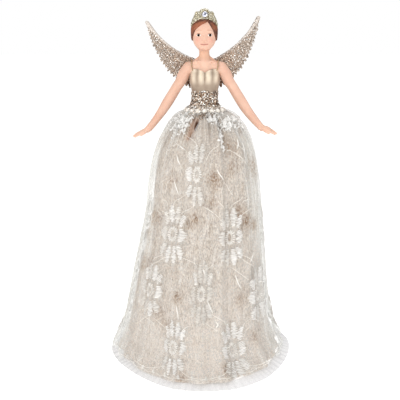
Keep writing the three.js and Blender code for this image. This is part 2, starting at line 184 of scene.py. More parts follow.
class Pile:
    """Many small shapes gathered into one mesh."""

    def __init__(self):
        self.v, self.f, self.n, self.extra = [], [], 0, {}

    def add(self, pts, faces, **extra):
        pts = np.asarray(pts, float)
        if isinstance(faces, np.ndarray):
            self.f.extend((faces + self.n).tolist())
        else:
            self.f.extend([[i + self.n for i in f] for f in faces])
        self.v.append(pts)
        self.n += len(pts)
        for k, val in extra.items():
            val = np.asarray(val, float)
            self.extra.setdefault(k, []).append(np.broadcast_to(val, (len(pts), val.shape[-1] if val.ndim else 1)))
        return self

    def build(self, name, smooth_shade=True):
        ob = make(name, np.concatenate(self.v), self.f, smooth_shade)
        for k, parts in self.extra.items():
            vals = np.concatenate(parts)
            if vals.shape[1] == 1:
                num_attr(ob, k, vals[:, 0])
            elif k.startswith("col"):
                col_attr(ob, k, vals)
            else:
                vec_attr(ob, k, vals)
        return ob


def evaluated(ob):
    dg = bpy.context.evaluated_depsgraph_get()
    return bpy.data.meshes.new_from_object(ob.evaluated_get(dg))


def fuse(name, parts, voxel, rounds):
    """One skin round overlapping closed shapes, softened where they meet."""
    pile = Pile()
    for pts, faces in parts:
        pile.add(pts, faces)
    ob = pile.build(name)
    m = ob.modifiers.new("skin", "REMESH")
    m.mode = "VOXEL"
    m.voxel_size = voxel * MM
    m.use_smooth_shade = True
    me = evaluated(ob)
    ob.modifiers.clear()
    old = ob.data
    ob.data = me
    bpy.data.meshes.remove(old)
    me.name = name
    bm = bmesh.new()
    bm.from_mesh(me)
    for i in range(rounds):
        bmesh.ops.smooth_vert(bm, verts=bm.verts, factor=0.5, use_axis_x=True, use_axis_y=True, use_axis_z=True)
    bm.to_mesh(me)
    bm.free()
    me.shade_smooth()
    return ob


def trim(ob, at, normal):
    """Cuts a closed mesh at a plane, keeps what lies behind the normal, and closes the cut."""
    bm = bmesh.new()
    bm.from_mesh(ob.data)
    bmesh.ops.bisect_plane(bm, geom=bm.verts[:] + bm.edges[:] + bm.faces[:], plane_co=Vector(at) * MM, plane_no=Vector(normal), clear_outer=True)
    edges = [e for e in bm.edges if e.is_boundary]
    bmesh.ops.edgeloop_fill(bm, edges=edges)
    bm.to_mesh(ob.data)
    bm.free()
    ob.data.shade_smooth()


def points_of(ob):
    co = np.zeros(len(ob.data.vertices) * 3, np.float32)
    ob.data.vertices.foreach_get("co", co)
    return co.reshape(-1, 3).astype(float) / MM


def set_points(ob, pts):
    ob.data.vertices.foreach_set("co", (np.asarray(pts) * MM).astype(np.float32).ravel())
    ob.data.update()


def mirror_x(pts, faces):
    pts = np.array(pts, float)
    pts[:, 0] *= -1
    return pts, [list(f)[::-1] for f in faces]


# ------------------------------------------------------------------ materials


class Mat:
    def __init__(self, name, **sockets):
        self.m = bpy.data.materials.new(name)
        self.m.use_nodes = True
        self.t = self.m.node_tree
        self.b = self.t.nodes["Principled BSDF"]
        for k, v in sockets.items():
            self.b.inputs[k.replace("_", " ")].default_value = v

    def node(self, kind, ins=None, **props):
        n = self.t.nodes.new(kind)
        for k, v in props.items():
            setattr(n, k, v)
        for k, v in (ins or {}).items():
            if isinstance(v, bpy.types.NodeSocket):
                self.t.links.new(v, n.inputs[k])
            else:
                n.inputs[k].default_value = v
        return n

    def to(self, out, socket):
        self.t.links.new(out, self.b.inputs[socket])

    def attr(self, name):
        return self.node("ShaderNodeAttribute", attribute_name=name)

    def place(self, name=None, scale=(1, 1, 1)):
        """Coordinates in millimetres, from an attribute or from the object itself, then scaled."""
        if name:
            v = self.attr(name).outputs["Vector"]
        else:
            v = self.node("ShaderNodeTexCoord").outputs["Object"]
            scale = tuple(s / MM for s in scale)
        return self.node("ShaderNodeMapping", {"Vector": v, "Scale": scale}).outputs["Vector"]

    def noise(self, vec, scale=1.0, detail=3.0, rough=0.55):
        return self.node("ShaderNodeTexNoise", {"Vector": vec, "Scale": scale, "Detail": detail, "Roughness": rough}).outputs["Fac"]

    def ramp(self, fac, stops):
        n = self.node("ShaderNodeValToRGB", {"Fac": fac})
        e = n.color_ramp.elements
        while len(e) < len(stops):
            e.new(0.5)
        for el, (p, c) in zip(e, stops):
            el.position = p
            el.color = c if len(c) == 4 else (*c, 1)
        return n.outputs["Color"]

    def grey(self, fac, lo, hi, a=0.0, b=1.0):
        return self.node("ShaderNodeMapRange", {"Value": fac, "From Min": lo, "From Max": hi, "To Min": a, "To Max": b}).outputs["Result"]

    def math(self, op, a, b=0.0):
        return self.node("ShaderNodeMath", {0: a, 1: b}, operation=op).outputs[0]

    def mix(self, fac, a, b, how="MIX"):
        n = self.node("ShaderNodeMix", data_type="RGBA", blend_type=how)
        for key, v in ((0, fac), (6, a), (7, b)):
            if isinstance(v, bpy.types.NodeSocket):
                self.t.links.new(v, n.inputs[key])
            else:
                n.inputs[key].default_value = v
        return n.outputs[2]

    def bump(self, height, strength=0.3, distance=0.0002):
        self.to(self.node("ShaderNodeBump", {"Height": height, "Strength": strength, "Distance": distance}).outputs["Normal"], "Normal")


HEAD_X = -0.45          # the head is set a little to the figure's right on its neck, in millimetres


def paint(ob, mat, body, slot, *nodes):
    if body == "head":
        set_points(ob, points_of(ob) + np.array([HEAD_X, 0, 0]))
    ob.data.materials.clear()
    ob.data.materials.append(mat.m)
    if nodes:
        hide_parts(*nodes)
    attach(ob, body)
    return ob


# ------------------------------------------------------------------ camera, light, floor

scene = bpy.context.scene
scene.view_settings.view_transform = "Standard"
cam = bpy.data.cameras.new("camera")
cam.sensor_width = 36.0
cam.lens = 36.0 * 546.1 / 400.0
camera = bpy.data.objects.new("camera", cam)
scene.collection.objects.link(camera)
camera.location = (0.0, -0.470, 0.26713)
camera.rotation_euler = (math.radians(90 - 15.348), 0.0, math.radians(0.49))
scene.camera = camera

world = bpy.data.worlds.new("studio")
scene.world = world
world.use_nodes = True
wn = world.node_tree.nodes
wl = world.node_tree.links
bg = wn["Background"]
bg.inputs["Color"].default_value = (1, 1, 1, 1)
bg.inputs["Strength"].default_value = 0.45
seen = wn.new("ShaderNodeBackground")
seen.inputs["Color"].default_value = (1, 1, 1, 1)
seen.inputs["Strength"].default_value = 1.0
path = wn.new("ShaderNodeLightPath")
pick = wn.new("ShaderNodeMixShader")
wl.new(path.outputs["Is Camera Ray"], pick.inputs[0])
wl.new(bg.outputs[0], pick.inputs[1])
wl.new(seen.outputs[0], pick.inputs[2])
wl.new(pick.outputs[0], wn["World Output"].inputs["Surface"])


def area(name, where, at, size, watts, colour=(1, 1, 1)):
    d = bpy.data.lights.new(name, "AREA")
    d.shape = "RECTANGLE"
    d.size, d.size_y = size
    d.energy = watts
    d.color = colour
    o = bpy.data.objects.new(name, d)
    scene.collection.objects.link(o)
    o.location = where
    o.rotation_euler = (Vector(at) - Vector(where)).to_track_quat("-Z", "Y").to_euler()
    return o


area("key", (-0.55, -0.95, 0.95), (0, 0, 0.15), (0.7, 0.7), 8.0, (1.0, 0.985, 0.96))
area("fill", (0.85, -0.75, 0.55), (0, 0, 0.15), (0.8, 0.8), 2.8)
area("top", (0.1, 0.25, 1.2), (0, 0, 0.1), (0.7, 0.7), 2.9)

floor = make("floor", [(-30000, -30000, 0), (30000, -30000, 0), (30000, 30000, 0), (-30000, 30000, 0)], [[0, 1, 2, 3]])
fm = Mat("floor_paper", Roughness=0.85, Specular_IOR_Level=0.1)
fm.b.inputs["Emission Color"].default_value = (1, 1, 1, 1)
fm.b.inputs["Emission Strength"].default_value = 0.70
fm.to(fm.ramp(fm.noise(fm.place(None, (0.002, 0.002, 0.002)), 1.0, 2.0), [(0.3, (0.93, 0.93, 0.93)), (0.7, (0.96, 0.96, 0.96))]), "Base Color")
floor.data.materials.append(fm.m)

# ------------------------------------------------------------------ skirt form

PROFILE = [(217.4, 15.3), (216.1, 18.2), (214.3, 21.8), (212.7, 24.2), (209.3, 27.4), (205.9, 30.5), (202.4, 33.4), (199, 35.5),
           (195.5, 37.6), (192, 39.3), (185, 42.0), (178, 44.1), (171, 45.7), (163.7, 47.2), (152.8, 48.9), (138, 50.4),
           (123, 52.5), (108, 55.0), (92.6, 57.4), (77, 59.9), (61, 62.3), (45, 64.9), (36.6, 66.7), (28.3, 68.8), (20, 71.4),
           (11.5, 75.2), (6.0, 78.4), (4.0, 79.4)]
LEAN = Curve([(0, -3.9), (3, -4.1), (20, -4.9), (45, -5.0), (61, -4.3), (77, -3.4), (92.6, -2.4), (108, -1.5), (123, -0.6),
              (138, 0.0), (164, 0.0), (185, 0.5), (200, 0.9), (220, 0.2)])
_rz = Curve(PROFILE)
_z = np.linspace(PROFILE[0][0], PROFILE[-1][0], 900)
_r = _rz(_z) - 0.65 * smooth(212, 196, _z) * smooth(14, 30, _z)
_len = np.concatenate([[0], np.cumsum(np.hypot(np.diff(_z), np.diff(_r)))])
SKIRT_LEN = float(_len[-1])
_s = _len / SKIRT_LEN


def z_at(s):
    return np.interp(s, _s, _z)


def r_at(s):
    return np.interp(s, _s, _r)


def s_at(z):
    return np.interp(-np.asarray(z, float), -_z, _s)


g_gather = waves(34, 66, 10, 11)
g_fold = waves(9, 23, 8, 12)
g_low = waves(3, 7, 4, 13)
g_micro = waves(88, 148, 12, 14)
a_gather = Curve([(0, 0.9), (0.03, 1.0), (0.09, 0.75), (0.2, 0.38), (0.45, 0.22), (1, 0.2)])
a_fold = Curve([(0, 0.2), (0.04, 0.7), (0.12, 0.95), (0.3, 0.75), (0.6, 0.7), (0.9, 1.0), (1, 1.5)])
a_low = Curve([(0, 0), (0.3, 0.3), (0.8, 0.7), (1, 1.0)])

_ca = Curve([(215.5, -12.6), (210.5, -15.2), (205, -18.2), (198, -22.4), (194, -24.6)])   # angle of the deep fold at the front of the waist, by level


def fold_masks(theta, z):
    """The deep fold beside the waist knot: 1 in its slit, and 1 over the strip that lies turned in beside it."""
    d = (np.degrees(theta) - _ca(z)) * np.pi / 180 * _rz(z)
    along = smooth(195.5, 199.5, z) * (1 - smooth(213.5, 216.0, z))
    slit = np.exp(-((d + 1.1) / (0.5 + 1.5 * smooth(204.6, 209.5, z) * (1 - smooth(211.0, 214.8, z)))) ** 4) * smooth(204.8, 207.2, z) * (1 - smooth(212.6, 214.4, z))
    strip = smooth(-7.6, -5.6, d) * (1 - smooth(-0.2, 1.0, d)) * along
    return slit, strip, d


def cloth_point(theta, s, inset, fine=1.0):
    """A point of a skirt layer: angle from the front, share of the length from the waist, depth inside the lace."""
    theta, s = np.broadcast_arrays(np.asarray(theta, float), np.asarray(s, float))
    z, r = z_at(s), r_at(s)
    dr = np.interp(s, _s, np.gradient(_r, _len))
    dz = np.interp(s, _s, np.gradient(_z, _len))
    drift = 0.9 * np.sin(2.2 * s + 1.0)
    off = (a_gather(s) * g_gather(theta, 0.25 * s) * fine + a_fold(s) * g_fold(theta, 0.2 * drift) + a_low(s) * g_low(theta)
           + 0.14 * fine * g_micro(theta, 0.5 * s)) - inset
    slit, strip, dd = fold_masks(theta, z)
    off = off - strip * (0.4 + 1.7 * np.clip(1 + dd / 6.5, 0, 1)) - 1.0 * slit
    off = off - 2.2 * smooth(34, 12, z) * np.exp(-((theta - 1.66) / 0.45) ** 2)      # pressed in a little at one side of the hem
    rr = r + off * (-dz)
    zz = z + off * dr
    return np.stack([LEAN(z) + rr * np.sin(theta), -rr * np.cos(theta), zz], -1)


def cloth_normal(theta, s, inset, fine=0.0):
    e = 2e-3
    a = cloth_point(theta + e, s, inset, fine) - cloth_point(theta - e, s, inset, fine)
    s0, s1 = np.clip(s - e, 0, 1), np.clip(s + e, 0, 1)
    b = cloth_point(theta, s1, inset, fine) - cloth_point(theta, s0, inset, fine)
    n = np.cross(b, a)
    n /= np.linalg.norm(n, axis=-1)[..., None] + 1e-12
    p = cloth_point(theta, s, inset, fine)
    out = np.stack([p[..., 0] - LEAN(p[..., 2]), p[..., 1], 0 * p[..., 2]], -1)
    sign = np.sign((n * out).sum(-1))
    return n * np.where(sign == 0, 1, sign)[..., None]


def skirt_layer(name, nu, nv, s0, s1, inset, fine, power=1.0, shift=None):
    u = np.linspace(-np.pi, np.pi, nu)
    s = s0 + (s1 - s0) * np.linspace(0, 1, nv) ** power
    uu, ss = np.meshgrid(u, s)
    ins = inset(ss, uu) if callable(inset) else inset
    p = cloth_point(uu, ss, ins, fine)
    p[..., 2] = np.maximum(p[..., 2], 1.2)
    if shift is not None:
        p[..., 0] += shift(ss)
    ob = make(name, p.reshape(-1, 3), grid_faces(nu, nv)[:, ::-1])
    fab = np.stack([uu * 52.0, ss * SKIRT_LEN, uu * 0], -1).reshape(-1, 3)
    vec_attr(ob, "fab", fab)
    slit, strip, dd = fold_masks(uu, z_at(ss))
    num_attr(ob, "slit", slit.ravel())
    num_attr(ob, "strip", strip.ravel())
    return ob


_ud = Curve([(0, 1.1), (0.05, 1.8), (0.15, 3.2), (0.3, 3.9), (0.6, 4.6), (0.75, 4.8), (0.9, 5.4), (1.0, 6.0)])


def under_depth(s, theta):
    """How far the underskirt hangs inside the lace: close at the front and back, further in at the sides near the hem."""
    side = np.sin(theta) ** 2
    low = smooth(0.5, 0.9, s)
    return _ud(s) * (1 - low * 0.8 * (1 - side))

under_shift = Curve([(0, 0.0), (0.15, 0.6), (0.35, 1.9), (0.55, 1.6), (0.75, 0.4), (1.0, 0.4)])

# beige brushed underskirt with brown mottling
m_under = Mat("brushed_underskirt", Roughness=0.95, Specular_IOR_Level=0.15, Sheen_Weight=0.35, Sheen_Roughness=0.5)
p1 = m_under.place("fab", (0.045, 0.024, 1))
blot = m_under.noise(p1, 1.0, 4.0, 0.62)
blot2 = m_under.noise(m_under.place("fab", (0.85, 0.38, 1)), 1.0, 3.0, 0.65)
streak = m_under.noise(m_under.place("fab", (0.30, 0.07, 1)), 1.0, 3.0, 0.6)
fibre = m_under.noise(m_under.place(None, (1.3, 1.3, 0.4)), 1.0, 2.0, 0.7)
base = m_under.ramp(streak, [(0.28, srgb(199, 184, 169)), (0.5, srgb(206, 192, 178)), (0.74, srgb(213, 201, 189))])
cloud = m_under.noise(m_under.place("fab", (0.12, 0.08, 1)), 1.0, 5.0, 0.68)
base = m_under.mix(m_under.grey(cloud, 0.46, 0.72, 0.0, 0.6), base, srgb(176, 146, 116))
spots = m_under.grey(blot, 0.60, 0.74)
base = m_under.mix(m_under.math("MULTIPLY", spots, 0.5), base, srgb(152, 114, 80))
base = m_under.mix(m_under.grey(fibre, 0.5, 0.66, 0.0, 0.95), base, srgb(240, 232, 220))
base = m_under.mix(m_under.grey(fibre, 0.5, 0.34, 0.0, 0.95), base, srgb(126, 103, 84))
base = m_under.mix(m_under.math("MULTIPLY", m_under.attr("low").outputs["Fac"], 0.3), base, srgb(236, 227, 219))
# painted shade: the underskirt is darkened in the valleys of the gathers and under the pearls at the front
base = m_under.mix(m_under.attr("gather_shade").outputs["Fac"], base, srgb(150, 122, 92))
# painted shade in the deep fold at the waist: the turned-in strip is darkened, and the slit is painted near-black brown
base = m_under.mix(m_under.math("MULTIPLY", m_under.attr("strip").outputs["Fac"], 0.62), base, srgb(178, 146, 128))
base = m_under.mix(m_under.math("MULTIPLY", m_under.attr("slit").outputs["Fac"], 1.0), base, srgb(74, 38, 14))
base = m_under.mix(m_under.math("MULTIPLY", m_under.attr("patch").outputs["Fac"], m_under.grey(blot2, 0.45, 0.55)), base, srgb(108, 66, 4))
slub = m_under.noise(m_under.place("fab", (0.75, 0.5, 1)), 1.0, 1.0, 0.5)
base = m_under.mix(m_under.grey(slub, 0.66, 0.72, 0.0, 0.75), base, srgb(96, 84, 68))
m_under.to(base, "Base Color")
# the sheen is taken off in the slit so that its painted shadow stays dark
m_under.to(m_under.grey(m_under.attr("slit").outputs["Fac"], 0.0, 0.6, 0.35, 0.0), "Sheen Weight")
m_under.bump(fibre, 0.5, 0.0004)
underskirt = skirt_layer("underskirt_cloth", 360, 136, 0.0, 1.0, under_depth, 0.7, 1.0, under_shift)
PATCHES = [(56.4, 123.8, 3.2, 0.95), (35.6, 139.3, 4.5, 0.85), (44.7, 129.6, 5.0, 0.85), (10.5, 166.5, 5.0, 0.75), (-9.0, 134.8, 4.0, 0.65), (-56.9, 129.8, 4.0, 0.75), (-63.3, 116.9, 3.0, 0.9),
           (69.3, 173.2, 6.0, 0.8), (-61.3, 89.1, 4.5, 0.85), (-18.7, 69.7, 3.5, 0.75), (-10.9, 6.5, 4.0, 0.5), (-25.6, 45.7, 4.0, 0.5), (46.3, 29.9, 4.5, 0.55), (35.6, 64.9, 5.0, 0.55),
           (18.0, 13.6, 3.5, 0.7), (-33.5, 53.4, 5.0, 0.5), (31.7, 192.0, 6.0, 0.5), (-15.7, 130.0, 4.0, 0.5), (7.9, 149.9, 4.5, 0.4), (23.3, 118.7, 3.5, 0.5), (34.0, 175.8, 5.0, 0.35),
           (-38.2, 163.2, 4.0, 0.45), (-71.6, 194.8, 5.0, 0.4), (-22.8, 199.8, 1.7, 1.0), (-24.4, 198.6, 1.4, 1.0)]
rng = np.random.default_rng(8)
for k in range(24):
    pa, pz = rng.uniform(92, 268), rng.uniform(8, 200)
    for j in range(rng.integers(2, 5)):
        PATCHES.append((pa + rng.normal(0, 4.5), pz + rng.normal(0, 4.5), rng.uniform(1.2, 2.6), rng.uniform(0.2, 0.6)))
up_ = points_of(underskirt)
ua = np.arctan2(up_[:, 0] - LEAN(up_[:, 2]), -up_[:, 1])
patch = np.zeros(len(up_))
PATCHES = [(a, z, w * 1.3, k) for a, z, w, k in PATCHES]
for a, z, w, k in PATCHES:
    da = (ua - math.radians(a) + np.pi) % (2 * np.pi) - np.pi
    patch = np.maximum(patch, k * np.exp(-(da * _rz(z) / w) ** 2 - ((up_[:, 2] - z) / (w * 1.1)) ** 2))
    patch = np.maximum(patch, min(1.0, 1.35 * k) * np.exp(-((da * _rz(z) - 0.5) / (0.42 * w)) ** 2 - ((up_[:, 2] - z - 0.4) / (0.45 * w)) ** 2))
patch = np.clip(1.35 * patch, 0, 1)
num_attr(underskirt, "patch", patch)
# painted shade in the gather valleys below the belt, strongest at the front under the pearls
num_attr(underskirt, "gather_shade", np.maximum(0.5 * smooth(0.05, -0.75, g_gather(ua, 0.0)), 0.72 * gauss(ua - 0.03, 0.2) * smooth(0.6, -0.4, g_gather(ua, 0.0))) * smooth(190, 214, up_[:, 2]))
num_attr(underskirt, "low", smooth(95, 12, up_[:, 2]))
m = underskirt.modifiers.new("cloth", "SOLIDIFY")
m.thickness = 0.0006
m.offset = -1.0
paint(underskirt, m_under, "stand", "underskirt", "underskirt")

# white net
m_net = Mat("lace_net", Roughness=0.75, Specular_IOR_Level=0.2, Sheen_Weight=0.2)
cell = m_net.place("fab", (1, 1, 1))
brick = m_net.node("ShaderNodeTexBrick", {"Vector": cell, "Scale": 1.0, "Mortar Size": 0.085, "Mortar Smooth": 0.35, "Brick Width": 1.15, "Row Height": 0.72}, offset=0.5)
strand = m_net.noise(m_net.place("fab", (0.28, 0.06, 1)), 1.0, 4.0, 0.6)
grain = m_net.noise(m_net.place("fab", (0.6, 0.45, 1)), 1.0, 4.0, 0.75)
hole = m_net.node("ShaderNodeTexVoronoi", {"Vector": m_net.place("fab", (0.62, 0.46, 1)), "Scale": 1.0, "Randomness": 0.8}, feature="DISTANCE_TO_EDGE").outputs["Distance"]
mesh_ = m_net.grey(hole, 0.03, 0.16, 0.32, 0.0)
work = m_net.attr("work").outputs["Fac"]
veil = m_net.attr("veil").outputs["Fac"]
dense = m_net.math("ADD", m_net.grey(strand, 0.34, 0.72, 0.62, 0.95), m_net.math("MULTIPLY", work, 0.1))
haze = m_net.math("ADD", m_net.grey(strand, 0.4, 0.8, 0.04, 0.13), m_net.math("MULTIPLY", work, m_net.grey(grain, 0.3, 0.7, 0.02, 0.25)))
fineline = m_net.noise(m_net.place("fab", (1.1, 0.035, 1)), 1.0, 2.0, 0.6)
haze = m_net.math("ADD", haze, m_net.math("MULTIPLY", veil, m_net.grey(fineline, 0.34, 0.68, 0.04, 0.42)))
alpha = m_net.math("ADD", m_net.math("MULTIPLY", m_net.math("MAXIMUM", m_net.math("MULTIPLY", brick.outputs["Fac"], 0.8), mesh_), dense), haze)
stain = m_net.math("MULTIPLY", m_net.attr("patch").outputs["Fac"], m_net.grey(grain, 0.42, 0.58))
opened = m_net.math("SUBTRACT", 1.0, m_net.math("MAXIMUM", m_net.math("MAXIMUM", m_net.math("MULTIPLY", m_net.attr("strip").outputs["Fac"], 0.97), m_net.math("MULTIPLY", m_net.attr("slit").outputs["Fac"], 1.0)), m_net.math("MULTIPLY", stain, 0.92)))
alpha = m_net.math("MULTIPLY", alpha, opened)
m_net.to(m_net.node("ShaderNodeClamp", {"Value": alpha, "Min": 0.0, "Max": 1.0}).outputs[0], "Alpha")
net_c = m_net.ramp(strand, [(0.3, srgb(214, 213, 209)), (0.7, srgb(232, 231, 228))])
net_c = m_net.mix(m_net.math("MULTIPLY", veil, 0.8), net_c, m_net.ramp(fineline, [(0.36, srgb(224, 226, 221)), (0.64, srgb(250, 250, 247))]))
# painted light: the net is painted lighter round the embroidery, to lift the shadow that the stitches cast there
net_c = m_net.mix(m_net.math("MULTIPLY", work, 0.7), net_c, srgb(247, 245, 241))
m_net.to(m_net.mix(stain, net_c, srgb(172, 128, 70)), "Base Color")
lace = skirt_layer("lace_net_sheet", 600, 128, 0.0, 1.0, 0.0, 1.0)
WHITE_T = np.array(srgb(252, 251, 249)[:3])
SOFT_T = np.array(srgb(236, 233, 228)[:3])
FAINT_T = np.array(srgb(224, 219, 211)[:3])
CREAM_T = np.array(srgb(240, 236, 229)[:3])
# brownish thread colour for the cords laid as painted shadow along petal edges
PETAL_SHADOW_T = np.array(srgb(146, 126, 108)[:3])
# flowers: angle, level, size, width, and the thread of each petal (white, soft, faint, none)
FLOWERS = [(-29.6, 121.5, 1.03, 1.08, "swwswswsww"), (25.0, 119.0, 1.03, 1.05, "wswswswsws"), (-45.2, 70.9, 0.98, 1.25, "wswwwssfws"), (0.9, 74.8, 1.08, 0.8, "ffssffsfff"),
           (57.0, 63.2, 1.02, 1.55, "wswwswwwws"), (-17.7, 28.9, 1.0, 0.98, "wwwwwwwsww"), (25.2, 25.0, 1.02, 1.08, "wwwwwwwsww"), (-8.0, 171.5, 1.05, 0.86, "ss.s.w.wss")]
AROUND = [(101, 114, 0.95, 1.0, "swwswwswws"), (151, 115, 0.95, 1.0, "wwswwswwsw"), (-154, 114, 0.95, 1.0, "wswwswwwsw"), (-103, 115, 0.95, 1.0, "swswwswsws"),
          (112, 70, 0.95, 1.0, "wwswwwswww"), (166, 70, 0.95, 1.0, "wswwswwsww"), (-141, 70, 0.95, 1.0, "swwwwswwsw"), (-99, 70, 0.95, 1.0, "sswswwsswf"),
          (101, 27, 0.95, 1.0, "swwswsswws"), (146, 27, 0.95, 1.0, "wwswwwwsww"), (-172, 28, 0.95, 1.0, "wwwswwwsww"), (-132, 27, 0.95, 1.0, "wswwwwswww"),
          (-98, 27, 0.95, 1.0, "swswsswsws"), (124, 165, 0.9, 0.9, "wwwswwwsww"), (-176, 166, 0.9, 0.9, "wswwwwswww"), (-120, 165, 0.9, 0.9, "wwswwwwsww")]
lp = points_of(lace)
la = np.arctan2(lp[:, 0] - LEAN(lp[:, 2]), -lp[:, 1])
work_mask = np.zeros(len(lp))
for a, z, sc, sx, tones in FLOWERS + AROUND:
    da = ((la - math.radians(a) + np.pi) % (2 * np.pi) - np.pi) * _rz(z) / (11.0 * sc * sx)
    dz_ = (lp[:, 2] - z) / (19.0 * sc)
    rr = np.hypot(da, dz_)
    work_mask = np.maximum(work_mask, 0.12 * smooth(1.25, 0.8, rr))
work_mask = np.maximum(work_mask, 0.2 * smooth(205, 214, lp[:, 2]))
num_attr(lace, "work", work_mask)
lace_patch = np.zeros(len(lp))
for a, z, w, k in PATCHES:
    da = (la - math.radians(a) + np.pi) % (2 * np.pi) - np.pi
    lace_patch = np.maximum(lace_patch, k * np.exp(-(da * _rz(z) / w) ** 2 - ((lp[:, 2] - z) / (w * 1.1)) ** 2))
num_attr(lace, "patch", lace_patch)
broad = 0.1 * (np.sin(la) > 0) * smooth(92, 125, lp[:, 2]) * smooth(206, 190, lp[:, 2])
num_attr(lace, "veil", smooth(0.8, 0.97, np.abs(np.sin(la)) + broad + 0.035 * g_fold(la, 0.02 * lp[:, 2])) * smooth(214, 200, lp[:, 2]))
paint(lace, m_net, "stand", "lace", "lace_overskirt")

# ------------------------------------------------------------------ petticoat wadding

g_lump = waves(5, 28, 14, 31)
g_lump2 = waves(18, 60, 16, 32)
CONE = lambda z: 58.5 - 45.5 * z / 214.0


def wadding():
    nu, nv = 220, 70
    u = np.linspace(-np.pi, np.pi, nu, endpoint=False)
    s = np.linspace(0.055, 0.955, nv)
    uu, ss = np.meshgrid(u, s)
    bumps = 0.55 * g_lump(uu, 9 * ss) + 0.3 * g_lump2(uu, 23 * ss)
    out = cloth_point(uu, ss, under_depth(ss, uu) + 2.6 + 0.5 * bumps, 0.0)
    out[..., 0] += under_shift(ss)
    zin = np.maximum(out[..., 2][::-1], 3.0)
    rin = CONE(zin) + 0.6
    inn = np.stack([rin * np.sin(uu), -rin * np.cos(uu), zin], -1)
    rows = [out, ]
    low_o, low_i = out[-1], inn[0]
    fill = []
    for t in np.linspace(0, 1, 9)[1:-1]:
        q = low_o * (1 - t) + low_i * t
        q = q.copy()
        q[:, 2] = q[:, 2] - 1.6 * math.sin(math.pi * t) + 0.5 * g_lump2(u, 30 * t)
        q[:, 2] = np.maximum(q[:, 2], 2.0)
        fill.append(q)
    rows = np.concatenate([out, np.array(fill), inn, out[:1]])
    n = len(rows)
    f = grid_faces(nu, n - 1, True).tolist()
    a = (n - 2) * nu
    for i in range(nu):
        f.append([a + i, a + (i + 1) % nu, (i + 1) % nu, i])
    return make("petticoat_wadding", rows[:-1].reshape(-1, 3), [x[::-1] for x in f])


m_wad = Mat("wadding", Roughness=1.0, Specular_IOR_Level=0.1, Sheen_Weight=0.4)
w1 = m_wad.noise(m_wad.place(None, (0.5, 0.5, 0.5)), 1.0, 5.0, 0.7)
m_wad.to(m_wad.ramp(w1, [(0.3, srgb(222, 216, 205)), (0.7, srgb(246, 243, 236))]), "Base Color")
m_wad.bump(w1, 0.6, 0.0006)
petticoat = paint(wadding(), m_wad, "stand", "wadding", "petticoat")

# ------------------------------------------------------------------ embroidery on the net

m_thread = Mat("satin_stitch", Roughness=0.55, Specular_IOR_Level=0.35, Sheen_Weight=0.3)
th1 = m_thread.noise(m_thread.place(None, (2.2, 2.2, 2.2)), 1.0, 3.0, 0.6)
m_thread.to(m_thread.mix(0.35, m_thread.attr("col").outputs["Color"], m_thread.ramp(th1, [(0.3, srgb(226, 221, 214)), (0.65, srgb(255, 254, 251))])), "Base Color")
m_thread.bump(th1, 0.25, 0.0002)


def on_lace(theta, s, lift):
    p = cloth_point(theta, s, 0.0, 1.0)
    return p + cloth_normal(theta, s, 0.0, 0.0) * np.asarray(lift)[..., None]


def cord_on_lace(pile, angles, levels, width, colour, taper=False, lift=0.25, wiggle=0.0, seed=0, seg=6):
    """A cord sewn along points given as angle in degrees and level."""
    a, z = np.radians(np.asarray(angles, float)), np.asarray(levels, float)
    s = s_at(z)
    t = np.concatenate([[0], np.cumsum(np.hypot(np.diff(a) * 55, np.diff(s) * SKIRT_LEN))])
    n = max(8, int(t[-1] / 1.1))
    tt = np.linspace(0, t[-1], n)
    if len(a) > 2:
        aa, sv = Curve(list(zip(t, a)))(tt), Curve(list(zip(t, s)))(tt)
    else:
        aa, sv = np.interp(tt, t, a), np.interp(tt, t, s)
    if wiggle:
        g = np.random.default_rng(seed)
        aa = aa + wiggle / 55 * np.sin(tt / t[-1] * np.pi * 2 + g.uniform(0, 6))
    p = on_lace(aa, np.clip(sv, 0.004, 0.996), np.full(n, lift))
    nrm = cloth_normal(aa, np.clip(sv, 0.004, 0.996), 0.0)
    shape = np.sin(np.linspace(0, np.pi, n)) ** 0.6 * 0.9 + 0.1 if taper else 0.75 + 0.25 * np.sin(np.linspace(0, np.pi, n))
    pts, faces = path_tube(p, width * shape, seg, 0.55, nrm)
    pile.add(pts, faces, col=colour)


